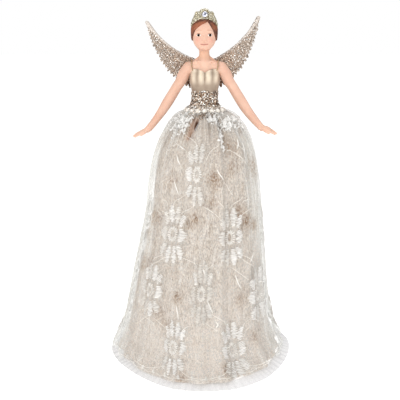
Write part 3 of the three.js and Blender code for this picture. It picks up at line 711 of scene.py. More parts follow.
class Stitches:
    """Satin stitches: short fat threads across a petal, laid on the net in one go."""

    def __init__(self):
        self.a, self.s, self.r, self.c, self.h = [], [], [], [], []

    def petal(self, at, base, tip, half, bow, colour, gap, rng):
        """Rows of stitches across a petal. base and tip are in millimetres from the flower's middle."""
        ac, sc, sx = at
        base, tip = np.array(base, float), np.array(tip, float)
        axis = tip - base
        length = np.hypot(*axis)
        axis /= length
        side = np.array([axis[1], -axis[0]])
        n = max(3, int(round(length / gap)))
        k = np.linspace(-1, 1, 5)
        for i in range(n):
            t = (i + 0.5) / n
            c = base + axis * length * t + side * bow * math.sin(math.pi * t)
            w = half * (0.4 + 0.62 * math.sin(math.pi * t) ** 0.75) * rng.uniform(0.68, 1.24)
            slant = 0.22 * (1 if bow >= 0 else -1) + rng.uniform(-0.14, 0.14)
            q = c[None] + (side + axis * slant)[None] * (w * k)[:, None] + axis[None] * (0.25 * (1 - k ** 2))[:, None]
            sv = np.clip(sc - q[:, 1] / SKIRT_LEN, 0.004, 0.996)
            self.a.append(ac + q[:, 0] * sx / r_at(sv))
            self.s.append(sv)
            self.r.append(gap * rng.uniform(0.27, 0.4) * np.array([0.5, 0.95, 1.0, 0.95, 0.5]))
            self.h.append(0.2 + 0.35 * (1 - k ** 2))
            self.c.append(np.clip(np.array(colour) * rng.uniform(0.8, 1.08), 0, 1))

    def thread(self, at, p, q, radius, colour):
        """One straight thread from p to q, in millimetres from the flower's middle."""
        ac, sc, sx = at
        k = np.linspace(0, 1, 5)
        xy = np.array(p, float)[None] * (1 - k)[:, None] + np.array(q, float)[None] * k[:, None]
        sv = np.clip(sc - xy[:, 1] / SKIRT_LEN, 0.004, 0.996)
        self.a.append(ac + xy[:, 0] * sx / r_at(sv))
        self.s.append(sv)
        self.r.append(radius * np.array([0.55, 0.95, 1.0, 0.95, 0.55]))
        self.h.append(0.22 + 0.25 * np.sin(np.pi * k))
        self.c.append(np.clip(np.array(colour), 0, 1))

    def lay(self, pile, seg=6, flat=0.6):
        a, s, r, h = (np.array(v) for v in (self.a, self.s, self.r, self.h))
        p = on_lace(a, s, h)
        up = cloth_normal(a, s, 0.0)
        t = np.gradient(p, axis=1)
        t /= np.linalg.norm(t, axis=2)[..., None] + 1e-12
        up = up - t * (up * t).sum(2)[..., None]
        up /= np.linalg.norm(up, axis=2)[..., None] + 1e-12
        n1 = np.cross(up, t)
        an = np.arange(seg) / seg * 2 * np.pi
        rows = p[:, :, None] + r[:, :, None, None] * (np.cos(an)[None, None, :, None] * n1[:, :, None] + flat * np.sin(an)[None, None, :, None] * up[:, :, None])
        n, m = rows.shape[:2]
        pts = np.concatenate([rows.reshape(n, m * seg, 3), rows[:, 0].mean(1)[:, None], rows[:, -1].mean(1)[:, None]], 1)
        quads = grid_faces(seg, m, True)
        tri = np.array([[m * seg, (i + 1) % seg, i] for i in range(seg)] + [[m * seg + 1, (m - 1) * seg + i, (m - 1) * seg + (i + 1) % seg] for i in range(seg)])
        per = m * seg + 2
        off = (np.arange(n) * per)[:, None, None]
        faces = (quads[None] + off).reshape(-1, 4).tolist() + (tri[None] + off).reshape(-1, 3).tolist()
        pile.add(pts.reshape(-1, 3), faces, col=np.repeat(np.array(self.c), per, 0))


PETALS = [(2.8, 8.7, 3.0, 22.9, 2.05, 0.25), (-1.6, 8.9, -2.3, 22.9, 2.05, -0.25), (6.2, 7.0, 9.1, 16.4, 2.25, -0.6), (-5.2, 7.0, -7.9, 16.6, 2.15, 0.6),
          (7.0, -5.6, 7.0, 5.3, 2.75, 1.3), (-6.3, -5.6, -6.3, 5.6, 2.55, -1.2), (5.7, -8.0, 9.2, -18.2, 2.35, -0.5), (-5.1, -8.2, -7.5, -18.0, 2.2, 0.5),
          (2.6, -9.2, 3.7, -23.2, 2.05, -0.25), (-1.3, -9.2, -1.9, -23.2, 2.05, 0.25)]
THREAD = {"w": WHITE_T, "s": SOFT_T, "f": FAINT_T}


def flower(pile, work_, angle, level, scale, sx, tones, seed):
    """A ten-petalled flower: padded petals worked across in ribs, round an oval of short radiating threads."""
    rng = np.random.default_rng(seed)
    at = (math.radians(angle), float(s_at(level)), sx)

    def cord(q, radius, colour, lift, flat=0.6, seg=6, close=False):
        q = np.asarray(q, float)
        sv = np.clip(at[1] - q[:, 1] / SKIRT_LEN, 0.004, 0.996)
        av = at[0] + q[:, 0] * sx / r_at(sv)
        pts, faces = path_tube(on_lace(av, sv, np.full(len(q), lift)), radius, seg, flat, cloth_normal(av, sv, 0.0))
        pile.add(pts, faces, col=np.clip(colour, 0, 1))

    n = 19
    for i in range(n):
        g = (i + rng.uniform(-0.12, 0.12)) / n * 2 * np.pi
        lo, hi = rng.uniform(0.96, 1.06), rng.uniform(0.92, 1.1)
        tone = SOFT_T if tones.count("f") < 4 else FAINT_T
        work_.thread(at, (2.25 * lo * scale * math.cos(g), 3.7 * lo * scale * math.sin(g)), (4.3 * hi * scale * math.cos(g), 6.3 * hi * scale * math.sin(g)), 0.42 * scale, tone * rng.uniform(0.86, 1.08))
    ring = np.linspace(0, 2 * np.pi, 23)
    cord(np.stack([2.05 * np.cos(ring), 3.4 * np.sin(ring)], -1) * scale, 0.26, FAINT_T * 0.94, 0.22)
    for i, (bx, by, tx, ty, half, bow) in enumerate(PETALS):
        if tones[i] == ".":
            continue
        colour = THREAD[tones[i]] * rng.uniform(0.93, 1.02)
        j = rng.uniform(0.94, 1.05)
        base, tip = np.array([bx, by]) * scale, np.array([tx, ty]) * scale * j
        work_.petal(at, base, tip, 1.14 * half * scale, bow * scale, colour, 1.2, rng)
        k = np.linspace(0.0, 1.0, 11)
        axis = tip - base
        length = np.hypot(*axis)
        side = np.array([axis[1], -axis[0]]) / length
        mid = base[None] + axis[None] * k[:, None] + side[None] * (bow * scale * np.sin(np.pi * k))[:, None]
        wide = half * scale * (0.3 + 0.66 * np.sin(np.pi * k) ** 0.75)
        # painted shadow: thin brownish cords along some petal edges stand in for the shadowed gaps between petals
        for sg in (-1, 1):
            if rng.uniform() < 0.5:
                m = k[1:-1] if rng.uniform() < 0.5 else k[2:8]
                edge = np.stack([np.interp(m, k, (mid + side * (sg * (wide + 0.45))[:, None])[:, c]) for c in (0, 1)], -1)
                cord(edge, 0.22 + 0.1 * np.sin(np.linspace(0, np.pi, len(m))), PETAL_SHADOW_T * rng.uniform(0.85, 1.15), 0.14)


front_pile, back_pile, front_work, back_work = Pile(), Pile(), Stitches(), Stitches()
for i, (a, z, sc, sx, tones) in enumerate(FLOWERS):
    flower(front_pile, front_work, a, z, sc, sx, tones, 100 + i)
for i, (a, z, sc, sx, tones) in enumerate(AROUND):
    flower(back_pile, back_work, a, z, sc, sx, tones, 200 + i)
front_work.lay(front_pile)
back_work.lay(back_pile)
paint(front_pile.build("embroidery_flowers_front"), m_thread, "stand", "lace")
paint(back_pile.build("embroidery_flowers_round"), m_thread, "stand", "lace")

LINES = [[(-30.3, 201.1), (-21.0, 198.6), (-12.6, 195.2), (-10.4, 191.2)], [(-39.0, 194.0), (-29.4, 191.3), (-22.2, 188.8), (-19.0, 184.3)],
         [(14.9, 192.7), (8.4, 190.4), (3.6, 186.8), (0.8, 182.3)], [(25.5, 190.7), (33.5, 187.3), (41.2, 183.7), (48.7, 176.9)],
         [(36.0, 194.6), (44.6, 190.2), (51.4, 185.7), (53.6, 178.9)], [(-1.2, 146.5), (4.8, 142.9), (10.8, 139.1), (14.9, 134.5)],
         [(-8.3, 147.2), (-13.4, 144.3), (-19.2, 141.3), (-22.9, 138.2)], [(-17.9, 155.1), (-23.9, 151.5), (-30.2, 148.2), (-31.2, 142.7)],
         [(-47.9, 148.3), (-40.8, 147.6), (-37.0, 142.8)], [(-55.1, 137.2), (-49.2, 136.1), (-43.0, 133.6)], [(12.1, 150.6), (16.2, 146.8), (19.3, 143.0)],
         [(40.5, 150.9), (34.2, 148.6), (29.1, 146.5), (26.0, 142.4)], [(49.9, 140.1), (42.4, 138.2), (36.6, 135.1), (33.3, 132.5)],
         [(-34.8, 167.0), (-40.9, 161.1), (-41.3, 153.9)], [(19.3, 165.7), (24.7, 160.2), (28.9, 153.7)], [(18.1, 163.3), (16.1, 158.2), (16.4, 153.8)],
         [(-36.8, 102.8), (-42.3, 99.9), (-48.0, 95.0), (-49.6, 90.7)], [(-19.3, 104.6), (-12.3, 102.2), (-5.1, 98.9), (-3.3, 95.3)],
         [(32.4, 102.6), (40.6, 96.5), (51.1, 88.5), (55.8, 83.1)], [(26.0, 94.7), (33.4, 88.4), (43.8, 79.7)], [(-43.2, 47.9), (-48.6, 43.5), (-53.7, 38.4)],
         [(-37.1, 48.4), (-31.2, 45.8), (-25.8, 42.4)], [(5.8, 60.4), (12.7, 55.5), (19.7, 49.6), (22.7, 43.1)], [(3.2, 52.0), (9.0, 47.3), (14.7, 43.3)],
         [(47.5, 47.4), (41.5, 45.7), (36.0, 43.2), (34.2, 38.9)],
         [(-23.5, 13.5), (-29.0, 10.6), (-37.0, 8.4), (-46.0, 9.2), (-52.0, 12.0)], [(-12.0, 13.0), (-7.0, 9.0), (3.5, 7.2), (13.5, 8.4), (19.0, 12.6)],
         [(31.5, 12.6), (37.5, 9.2), (46.0, 8.0), (54.0, 10.4)], [(-6.9, 47.5), (-10.5, 45.0), (-13.2, 40.5)], [(43.4, 40.0), (39.0, 38.3), (36.0, 35.0)],
         [(-34.8, 91.3), (-39.3, 85.9), (-41.4, 82.0)], [(-53.3, 33.4), (-52.3, 22.6), (-47.5, 14.3), (-42.9, 10.8), (-40.3, 14.5)],
         [(10.0, 105.5), (9.1, 99.3), (4.0, 94.2)], [(-6.1, 105.7), (-6.2, 99.4)], [(9.4, 90.9), (6.6, 84.7), (7.0, 77.3)]]
LEAVES = [[(-32.4, 165.1), (-29.9, 160.6), (-26.3, 153.9)], [(-34.6, 185.9), (-31.7, 181.9), (-27.1, 177.6)], [(12.2, 175.4), (15.0, 171.1), (19.4, 166.2)],
          [(-33.2, 192.7), (-29.4, 191.3), (-26.0, 190.0)], [(49.5, 188.1), (51.4, 183.6), (52.8, 177.3)], [(43.1, 197.1), (41.8, 192.2), (39.7, 188.9)],
          [(-63.4, 142.5), (-63.9, 137.7), (-65.5, 131.6)], [(56.5, 194.4), (55.4, 190.1), (55.4, 186.6)], [(-18.1, 64.4), (-16.6, 59.3), (-15.0, 53.1)],
          [(29.6, 88.1), (31.4, 82.4), (34.5, 75.1)], [(49.5, 102.9), (47.3, 98.0), (44.5, 94.4)], [(5.3, 70.0), (8.0, 64.5), (10.7, 57.9)],
          [(12.8, 51.2), (14.3, 48.9), (12.9, 45.8)], [(0.8, 96.4), (2.0, 93.2), (3.4, 89.4)]]
vine_pile = Pile()
for turn, flip in ((0, 1), (180, 1), (0, -1), (180, -1)):
    for i, line in enumerate(LINES):
        a = [turn + flip * q[0] for q in line]
        if flip < 0 and max(abs(((x - turn + 180) % 360) - 180) for x in a) < 46:
            continue
        if flip < 0 and i % 2:
            continue
        cord_on_lace(vine_pile, a, [q[1] for q in line], 0.18, CREAM_T)
    for i, line in enumerate(LEAVES):
        a = [turn + flip * q[0] for q in line]
        if flip < 0:
            continue
        cord_on_lace(vine_pile, a, [q[1] for q in line], 0.5, SOFT_T, True, 0.3, seg=8)
# ogee lines at the sides, from flower to flower
for a0, z0, a1, z1 in [(96, 133, 118, 150), (96, 98, 108, 86), (88, 46, 104, 56), (122, 56, 140, 44), (-97, 133, -116, 150), (-97, 98, -98, 86),
                       (-98, 54, -106, 44), (100, 10, 108, 14), (-92, 8, -102, 14), (112, 86, 140, 98), (-110, 90, -140, 98), (-142, 52, -134, 44), (166, 54, 150, 44)]:
    mid = ((a0 + a1) / 2 + 3, (z0 + z1) / 2 + 2)
    cord_on_lace(vine_pile, [a0, mid[0], a1], [z0, mid[1], z1], 0.18, CREAM_T)
# scalloped cord along the lower edge of the lace
ed = np.linspace(-180, 180, 721)
ez_ = 6.1 + 0.75 * np.abs(np.sin(np.radians(ed) * 21)) ** 0.8
sv = s_at(ez_)
pts, faces = path_tube(on_lace(np.radians(ed), sv, np.full(721, 0.3)), 0.2, 6, 0.6, cloth_normal(np.radians(ed), sv, 0.0))
vine_pile.add(pts, faces, col=FAINT_T)
border = Stitches()
rng = np.random.default_rng(71)
for k in range(42):
    ac = (k + 0.5) / 42 * 2 * np.pi
    border.petal((ac, float(s_at(7.4)), 1.0), (rng.uniform(-0.6, 0.6), -1.6), (rng.uniform(-0.6, 0.6), 1.8), 1.2, rng.normal(0, 0.3), SOFT_T * rng.uniform(0.9, 1.05), 0.9, rng)
border.lay(vine_pile)
# clusters of stitching drawn together under the belt
rng = np.random.default_rng(77)
knots = Stitches()
for (a, z, n, spread) in [(14.4, 212.6, 14, 2.6), (9.0, 213.8, 8, 2.0), (39.9, 209.6, 14, 3.0), (31.0, 206.0, 12, 2.6), (23.0, 202.0, 8, 2.4), (20.6, 197.0, 6, 2.2), (21.0, 191.5, 4, 2.4), (62, 211.5, 7, 2.2), (-62, 211.8, 7, 2.2), (48, 213.4, 6, 1.9), (-50, 213.6, 6, 1.9),
                          (-37.5, 206.5, 11, 3.0), (-47.0, 202.0, 9, 3.4), (-42.0, 210.5, 9, 2.4), (-58, 206, 9, 2.8), (-34.0, 212.5, 8, 2.0), (26.0, 213.6, 8, 2.2), (56, 206, 10, 3.0),
                          (72, 208, 10, 3.0), (105, 208, 14, 3.4), (150, 206, 14, 3.4), (-110, 207, 14, 3.4), (-160, 207, 14, 3.4), (-80, 208, 9, 3.0), (180, 209, 10, 3.0), (130, 200, 8, 2.6), (-136, 201, 8, 2.6)]:
    for k in range(2 * n + 2):
        da, dz = rng.normal(0, spread * 0.58), rng.normal(0, spread * 0.72)
        s0 = float(np.clip(s_at(z + dz), 0.012, 1))
        ac = math.radians(a) + da / r_at(s0)
        g, ln = rng.uniform(0, np.pi), rng.uniform(0.8, 1.6)
        knots.petal((ac, s0, 1.0), (-ln * math.cos(g), -ln * math.sin(g)), (ln * math.cos(g), ln * math.sin(g)), rng.uniform(0.5, 0.95), rng.normal(0, 0.4), WHITE_T * rng.uniform(0.95, 1.12), 1.0, rng)
waist_pile = Pile()
knots.lay(waist_pile)
paint(waist_pile.build("embroidery_waist"), m_thread, "stand", "lace")
paint(vine_pile.build("embroidery_vines"), m_thread, "stand", "lace")

# ------------------------------------------------------------------ pleated organza hem

m_org = Mat("organza", Roughness=0.55, Specular_IOR_Level=0.3, Sheen_Weight=0.3, Transmission_Weight=0.0)
og = m_org.noise(m_org.place("fab", (1.4, 0.35, 1)), 1.0, 3.0, 0.6)
# painted shade: the organza is darkened in the pleat folds, more at the sides
m_org.to(m_org.mix(m_org.math("MULTIPLY", m_org.attr("fold").outputs["Fac"], 0.8), m_org.ramp(og, [(0.3, srgb(196, 195, 196)), (0.7, srgb(223, 222, 223))]), srgb(170, 170, 173)), "Base Color")
weave = m_org.node("ShaderNodeTexBrick", {"Vector": m_org.place("fab", (1, 1, 1)), "Scale": 1.0, "Mortar Size": 0.05, "Mortar Smooth": 0.3, "Brick Width": 0.4, "Row Height": 0.4}, offset=0.0)
m_org.to(m_org.grey(weave.outputs["Fac"], 0, 1, 0.58, 0.9), "Alpha")


# how far the ribbon reaches out from the middle, by angle
REACH = Curve([(-180, 80.5), (-140, 82.0), (-110, 84.0), (-100, 84.4), (-90, 84.6), (-80, 85.1), (-70, 85.2), (-60, 84.4), (-47, 82.4), (-35.6, 83.0), (-20.5, 84.2), (0, 84.6), (12, 85.3),
               (23, 86.0), (38, 85.6), (48.5, 84.0), (59, 83.3), (69, 83.1), (79.5, 83.0), (90, 81.8), (101.7, 77.8), (115, 76.6), (140, 79.0), (180, 80.5)])


def hem():
    pleats, per = 92, 12
    nu, nv = pleats * per + 1, 14
    rng = np.random.default_rng(5)
    u = np.linspace(-np.pi, np.pi, nu)
    jig = waves(4, 15, 6, 51)
    ph = (u + np.pi) / (2 * np.pi) * pleats + 0.22 * jig(u)
    saw = ph - np.floor(ph)
    tooth = np.where(saw < 0.72, saw / 0.72, (1 - saw) / 0.28)       # knife pleats
    t = np.linspace(0, 1, nv)
    uu, tt = np.meshgrid(u, t)
    sw = np.broadcast_to(tooth, uu.shape)
    deg = np.degrees(uu)
    r = REACH(deg) + 0.15 * jig(uu) - 10.0 * (1 - tt)      # one width of ribbon all round
    z = 2.4 * (1 - tt) ** 1.15 + 0.3 + (0.3 + 0.3 * tt) * sw * (0.45 + 0.55 * smooth(30, 62, np.abs(deg))) + 0.08 * tt * (jig(uu, 2.0) + 1)
    x = LEAN(3.0) * 0.55 + r * np.sin(uu)
    y = -r * np.cos(uu)
    ob = make("organza_hem", np.stack([x, y, z], -1).reshape(-1, 3), grid_faces(nu, nv)[:, ::-1])
    vec_attr(ob, "fab", np.stack([uu * 84, tt * 17, 0 * uu], -1).reshape(-1, 3))
    # fold: painted shade in each pleat's fold, stronger at the sides
    num_attr(ob, "fold", (np.clip(1 - 1.6 * sw, 0, 1) * (0.3 + 0.7 * smooth(30, 62, np.abs(deg)))).ravel())
    return ob


hem_ob = paint(hem(), m_org, "stand", "organza", "hem_ribbon")

# ------------------------------------------------------------------ skin: torso and arms

TRX = Curve([(214.3, 10.6), (222, 9.6), (229, 9.5), (234, 10.2), (240, 10.6), (246, 10.6), (250, 10.2), (254, 9.0), (257, 7.4)])
TFR = Curve([(214.3, 9.6), (222, 8.7), (229, 8.0), (235, 8.6), (241, 9.6), (246, 9.3), (250, 7.8), (254, 6.4), (257, 5.4)])
TBK = Curve([(214.3, 9.6), (222, 8.7), (229, 7.8), (235, 7.4), (241, 7.0), (247, 6.6), (252, 6.2), (257, 5.4)])

m_skin = Mat("painted_skin", Roughness=0.48, Specular_IOR_Level=0.35, Subsurface_Weight=0.08, Subsurface_Scale=0.002)
m_skin.b.inputs["Subsurface Radius"].default_value = (1.0, 0.45, 0.3)
sk = m_skin.noise(m_skin.place(None, (0.09, 0.09, 0.09)), 1.0, 2.0, 0.5)
sk2 = m_skin.noise(m_skin.place(None, (2.6, 2.6, 2.6)), 1.0, 2.0, 0.5)
skin_c = m_skin.ramp(sk, [(0.3, srgb(215, 172, 150)), (0.7, srgb(226, 186, 165))])
skin_c = m_skin.mix(m_skin.attr("pale").outputs["Fac"], skin_c, srgb(238, 199, 176))
m_skin.to(m_skin.mix(m_skin.attr("warm").outputs["Fac"], skin_c, srgb(214, 168, 138)), "Base Color")
m_skin.bump(sk2, 0.05, 0.0001)


def oval_loft(levels, rx, front, back, seg=48, cx=0.0, cy=0.0, power=1.0):
    a = np.arange(seg) / seg * 2 * np.pi
    rows = []
    for z, x, f, b in zip(levels, rx, front, back):
        y = -np.cos(a)
        rows.append(np.stack([cx + x * np.sin(a), cy + np.where(y < 0, y * f, y * b), np.full(seg, z)], -1))
    return closed_tube(rows, seg)


def ball(c, r, seg=28, rows=18):
    c, r = np.asarray(c, float), np.broadcast_to(np.asarray(r, float), (3,))
    ph = np.linspace(-np.pi / 2, np.pi / 2, rows + 2)[1:-1]
    a = np.arange(seg) / seg * 2 * np.pi
    rr = [np.stack([c[0] + r[0] * np.cos(p) * np.cos(a), c[1] + r[1] * np.cos(p) * np.sin(a), np.full(seg, c[2] + r[2] * np.sin(p))], -1) for p in ph]
    pts, faces = closed_tube(rr, seg)
    pts[-2] = c - [0, 0, r[2]]
    pts[-1] = c + [0, 0, r[2]]
    return pts, faces


def capsule(points, radii, seg=16, dome=4):
    """A round-ended tube along points."""
    p = [np.asarray(q, float) for q in points]
    r = list(radii)
    d0 = (p[0] - p[1]) / np.linalg.norm(p[0] - p[1])
    d1 = (p[-1] - p[-2]) / np.linalg.norm(p[-1] - p[-2])
    pts, rad = [], []
    for k in range(dome):
        a = math.pi / 2 * (k + 0.35) / dome
        pts.append(p[0] + d0 * r[0] * math.cos(a))
        rad.append(r[0] * math.sin(a))
    pts += p
    rad += r
    for k in range(dome)[::-1]:
        a = math.pi / 2 * (k + 0.35) / dome
        pts.append(p[-1] + d1 * r[-1] * math.cos(a))
        rad.append(r[-1] * math.sin(a))
    return path_tube(pts, rad, seg)


tz = np.linspace(214.6, 257.0, 60)
torso_parts = [oval_loft(tz, TRX(tz), TFR(tz), TBK(tz), 64)]
sx_ = np.linspace(-15.0, 15.0, 31)
a_ = np.arange(40) / 40 * 2 * np.pi
torso_parts.append(closed_tube([np.stack([np.full(40, x), 5.6 * np.cos(a_), 252.5 + 5.6 * np.sin(a_)], -1) for x in sx_], 40))
nz = np.linspace(249, 269.0, 44)
NR = Curve([(249, 6.2), (255, 7.2), (258, 6.5), (260.2, 5.4), (262.4, 4.55), (264.6, 4.2), (266.7, 4.2), (269, 4.3)])
torso_parts.append(oval_loft(nz, NR(nz), NR(nz) * 0.97, NR(nz), 40))
for sgn in (-1, 1):
    torso_parts.append(capsule([(sgn * 1.7, -5.0, 257.4), (sgn * 5, -4.9, 258.2), (sgn * 9.5, -3.4, 257.7)], [0.75, 0.8, 0.7], 12))
    torso_parts.append(capsule([(sgn * 3.2, 0.9, 261.6), (sgn * 7.2, 0.4, 257.9), (sgn * 11.0, 0, 255.0)], [1.7, 2.2, 2.6], 14))
torso = fuse("torso_skin", torso_parts, 0.42, 7)
trim(torso, (11.96, 0, 0), (1, 0, 0))
trim(torso, (-11.96, 0, 0), (-1, 0, 0))
trim(torso, (0, 0, 266.68), (0, 0, 1))
tp_ = points_of(torso)
tp_[:, 0] += HEAD_X * smooth(256.5, 265.5, tp_[:, 2])
set_points(torso, tp_)
tq = points_of(torso)
# painted light: the front of the chest below the neck is painted lighter
num_attr(torso, "pale", 0.42 * smooth(-1.0, -4.5, tq[:, 1]) * smooth(259.5, 256.5, tq[:, 2]))
num_attr(torso, "warm", 0.6 * smooth(258.5, 261.5, tq[:, 2]))
paint(torso, m_skin, "stand", "skin", "torso")

ARM = [(9.0, 246.9, 9.0, 258.1, 0, 5.6), (12.15, 246.9, 12.15, 258.1, 0, 5.6), (12.6, 246.5, 15.6, 257.5, 0, 5.5), (13.1, 245.3, 19, 254, 0, 5.3), (14.1, 243.2, 22.2, 249.4, 0, 5),
       (16.1, 239.8, 24.4, 243.9, -.1, 4.6), (19.3, 235.7, 27.2, 239.6, -.3, 4.4), (23.3, 229.2, 31.2, 233.2, -.6, 4.4), (27.3, 222.8, 35.7, 226.3, -1, 4.3),
       (32.3, 215.8, 39.8, 219.6, -1.5, 3.9), (38.4, 209, 44.5, 213, -2, 3.4), (44.6, 202.9, 49.4, 206.7, -2.5, 2.7), (48.4, 199.9, 51.9, 203.9, -2.9, 2.6)]


def arm_parts(drop, sag, rise):
    f = [Curve([(i, s[k]) for i, s in enumerate(ARM)]) for k in range(6)]
    t = np.linspace(0, len(ARM) - 1, 90)
    xi, zi, xo, zo, y, dep = [c(t) for c in f]
    zi, zo = zi - sag * smooth(34, 46, xi), zo - sag * smooth(34, 46, xo)
    a = np.arange(36) / 36 * 2 * np.pi
    rows = []
    for i in range(len(t)):
        c = np.array([(xi[i] + xo[i]) / 2, y[i], (zi[i] + zo[i]) / 2])
        u = np.array([(xo[i] - xi[i]) / 2, 0, (zo[i] - zi[i]) / 2])
        rows.append(c + np.cos(a)[:, None] * u + np.sin(a)[:, None] * np.array([0, dep[i], 0]))
    parts = [closed_tube(rows, 36)]
    # the hand: palm down, fingers together, thumb along the front
    wrist = np.array([49.0, -2.7, 202.6 - sag])
    d = np.array([0.905, -0.10, -drop])
    d /= np.linalg.norm(d)
    n = np.array([drop, -0.26, 0.87])
    n -= d * (n @ d)
    n /= np.linalg.norm(n)
    w = np.cross(n, d)                                              # towards the thumb side or away from it
    if w[1] > 0:
        w = -w
    palm = []
    for t_, hw, th, up in [(-3.0, 2.5, 2.2, 0.2), (0, 2.7, 2.0, 0.1), (2.2, 3.3, 1.9, 0.1), (4.4, 3.8, 1.75, 0.1), (6.2, 3.9, 1.5, 0.0), (7.6, 3.5, 1.2, -0.05)]:
        c = wrist + d * t_ + n * (up + rise * smooth(-3, 3, t_))
        palm.append(c + np.cos(a)[:, None] * w * hw + np.sin(a)[:, None] * n * (th + 0.3 * rise))
    parts.append(closed_tube(palm, 36))
    for off, length, r, sp in [(2.85, 5.6, 0.98, 0.10), (0.98, 6.9, 1.05, 0.03), (-0.95, 6.6, 1.02, -0.03), (-2.75, 5.0, 0.9, -0.11)]:
        p0 = wrist + d * 6.3 + w * off + n * 0.6 * rise
        dd = d + w * sp
        p1 = p0 + dd * length * 0.5 - n * 0.15
        p2 = p0 + dd * length - n * 0.55
        parts.append(capsule([p0, p1, p2], [r, r * 0.92, r * 0.72], 14))
    q0 = wrist + d * 1.6 + w * 2.2
    q1 = q0 + d * 2.6 + w * 1.5 - n * 0.4
    q2 = q1 + d * 2.8 + w * 0.35 - n * 0.5
    parts.append(capsule([q0, q1, q2], [1.25, 1.1, 0.8], 14))
    return parts


for side, sgn in (("left", 1), ("right", -1)):
    parts = arm_parts(0.31, 0.0, 0.9) if sgn > 0 else arm_parts(0.355, 1.5, 0.0)
    if sgn < 0:
        parts = [mirror_x(*p) for p in parts]
    arm = fuse("arm_%s_skin" % side, parts, 0.34, 5)
    trim(arm, (sgn * 12.04, 0, 0), (-sgn, 0, 0))
    # painted light: the hands are painted lighter than the rest of the arm
    num_attr(arm, "pale", 0.65 * smooth(45, 54, np.abs(points_of(arm)[:, 0])))
    paint(arm, m_skin, "arm_" + side, "skin", "arm_" + side)

# ------------------------------------------------------------------ head

HRX = Curve([(266.7, 4.22), (267.5, 4.7), (268.6, 5.75), (271, 7.8), (274.5, 9.3), (279, 9.9), (283, 10.0), (286.5, 9.1), (289.2, 6.9), (290.8, 4.3), (291.5, 0.9)])
HFR = Curve([(266.7, 4.25), (267.2, 6.0), (268.0, 8.0), (270, 9.1), (272, 9.35), (275, 9.6), (279, 9.75), (283, 9.7), (286.5, 8.5), (289.2, 6.1), (290.8, 3.9), (291.5, 0.9)])
HBK = Curve([(266.7, 4.25), (268.6, 5.0), (271, 6.8), (274.5, 8.8), (279, 10.1), (283, 10.2), (286.5, 9.1), (289.2, 6.8), (290.8, 4.2), (291.5, 0.9)])
EYE_X, EYE_Z = 4.34, 278.75


def face_push(x, z):
    """How far the face stands out from the plain head, in millimetres, at the front."""
    ax = np.abs(x)
    nose = 1.55 * gauss(x, 1.35 + 0.06 * (281 - z).clip(0)) * smooth(282.0, 274.4, z) * (1 - smooth(273.9, 272.9, z))
    wing = 0.3 * gauss(ax - 1.5, 0.8) * gauss(z - 274.0, 0.9)
    socket = -0.62 * gauss(ax - EYE_X, 2.3) * gauss(z - EYE_Z, 1.7)
    brow = 0.34 * gauss(ax - 4.3, 3.4) * gauss(z - 282.2, 1.2)
    cheek = 0.62 * gauss(ax - 5.3, 2.8) * gauss(z - 275.2, 2.6)
    upper = 0.3 * gauss(x, 2.9) * gauss(z - 272.2, 0.55) * (1 - 0.25 * gauss(x, 0.6))
    lower = 0.36 * gauss(x, 2.4) * gauss(z - 270.9, 0.62)
    line = -0.26 * gauss(x, 3.2) * gauss(z - 271.5 - 0.022 * x ** 2, 0.25)
    under = -0.02 * gauss(x, 2.4) * gauss(z - 269.9, 0.5)
    chin = 0.05 * gauss(x, 2.9) * gauss(z - 268.5, 1.1)
    groove = -0.14 * gauss(x, 0.55) * gauss(z - 272.95, 0.45)
    return nose + wing + socket + brow + cheek + upper + lower + line + under + chin + groove


def head_point(theta, z, grow=0.0, face=True):
    rx, fr, bk = HRX(z) + grow, HFR(z) + grow, HBK(z) + grow
    sn, cs = np.sin(theta), np.cos(theta)
    pw = 0.93
    x = rx * np.sign(sn) * np.abs(sn) ** pw
    y = -np.sign(cs) * np.abs(cs) ** pw * np.where(cs > 0, fr, bk)
    if face:
        y = y - face_push(x, z) * smooth(0.35, 0.75, cs)
    return np.stack([x, y, z + 0 * theta], -1)


nu, nv = 240, 190
u = np.linspace(-np.pi, np.pi, nu, endpoint=False)
zz = 266.72 + (291.5 - 266.72) * np.linspace(0, 1, nv) ** 0.97
uu, zv = np.meshgrid(u, zz)
hp = head_point(uu, zv)
pts, faces = closed_tube(hp, nu)
head = make("head_skin", pts, faces)
x, y, z = pts[:, 0], pts[:, 1], pts[:, 2]
front = smooth(-2.0, -6.0, y)
colour = np.tile(np.array(srgb(221, 180, 159)[:3]), (len(pts), 1))


def tint(mask, rgb):
    global colour
    mm = np.clip(mask, 0, 1)[:, None]
    colour = colour * (1 - mm) + np.array(srgb(*rgb)[:3]) * mm


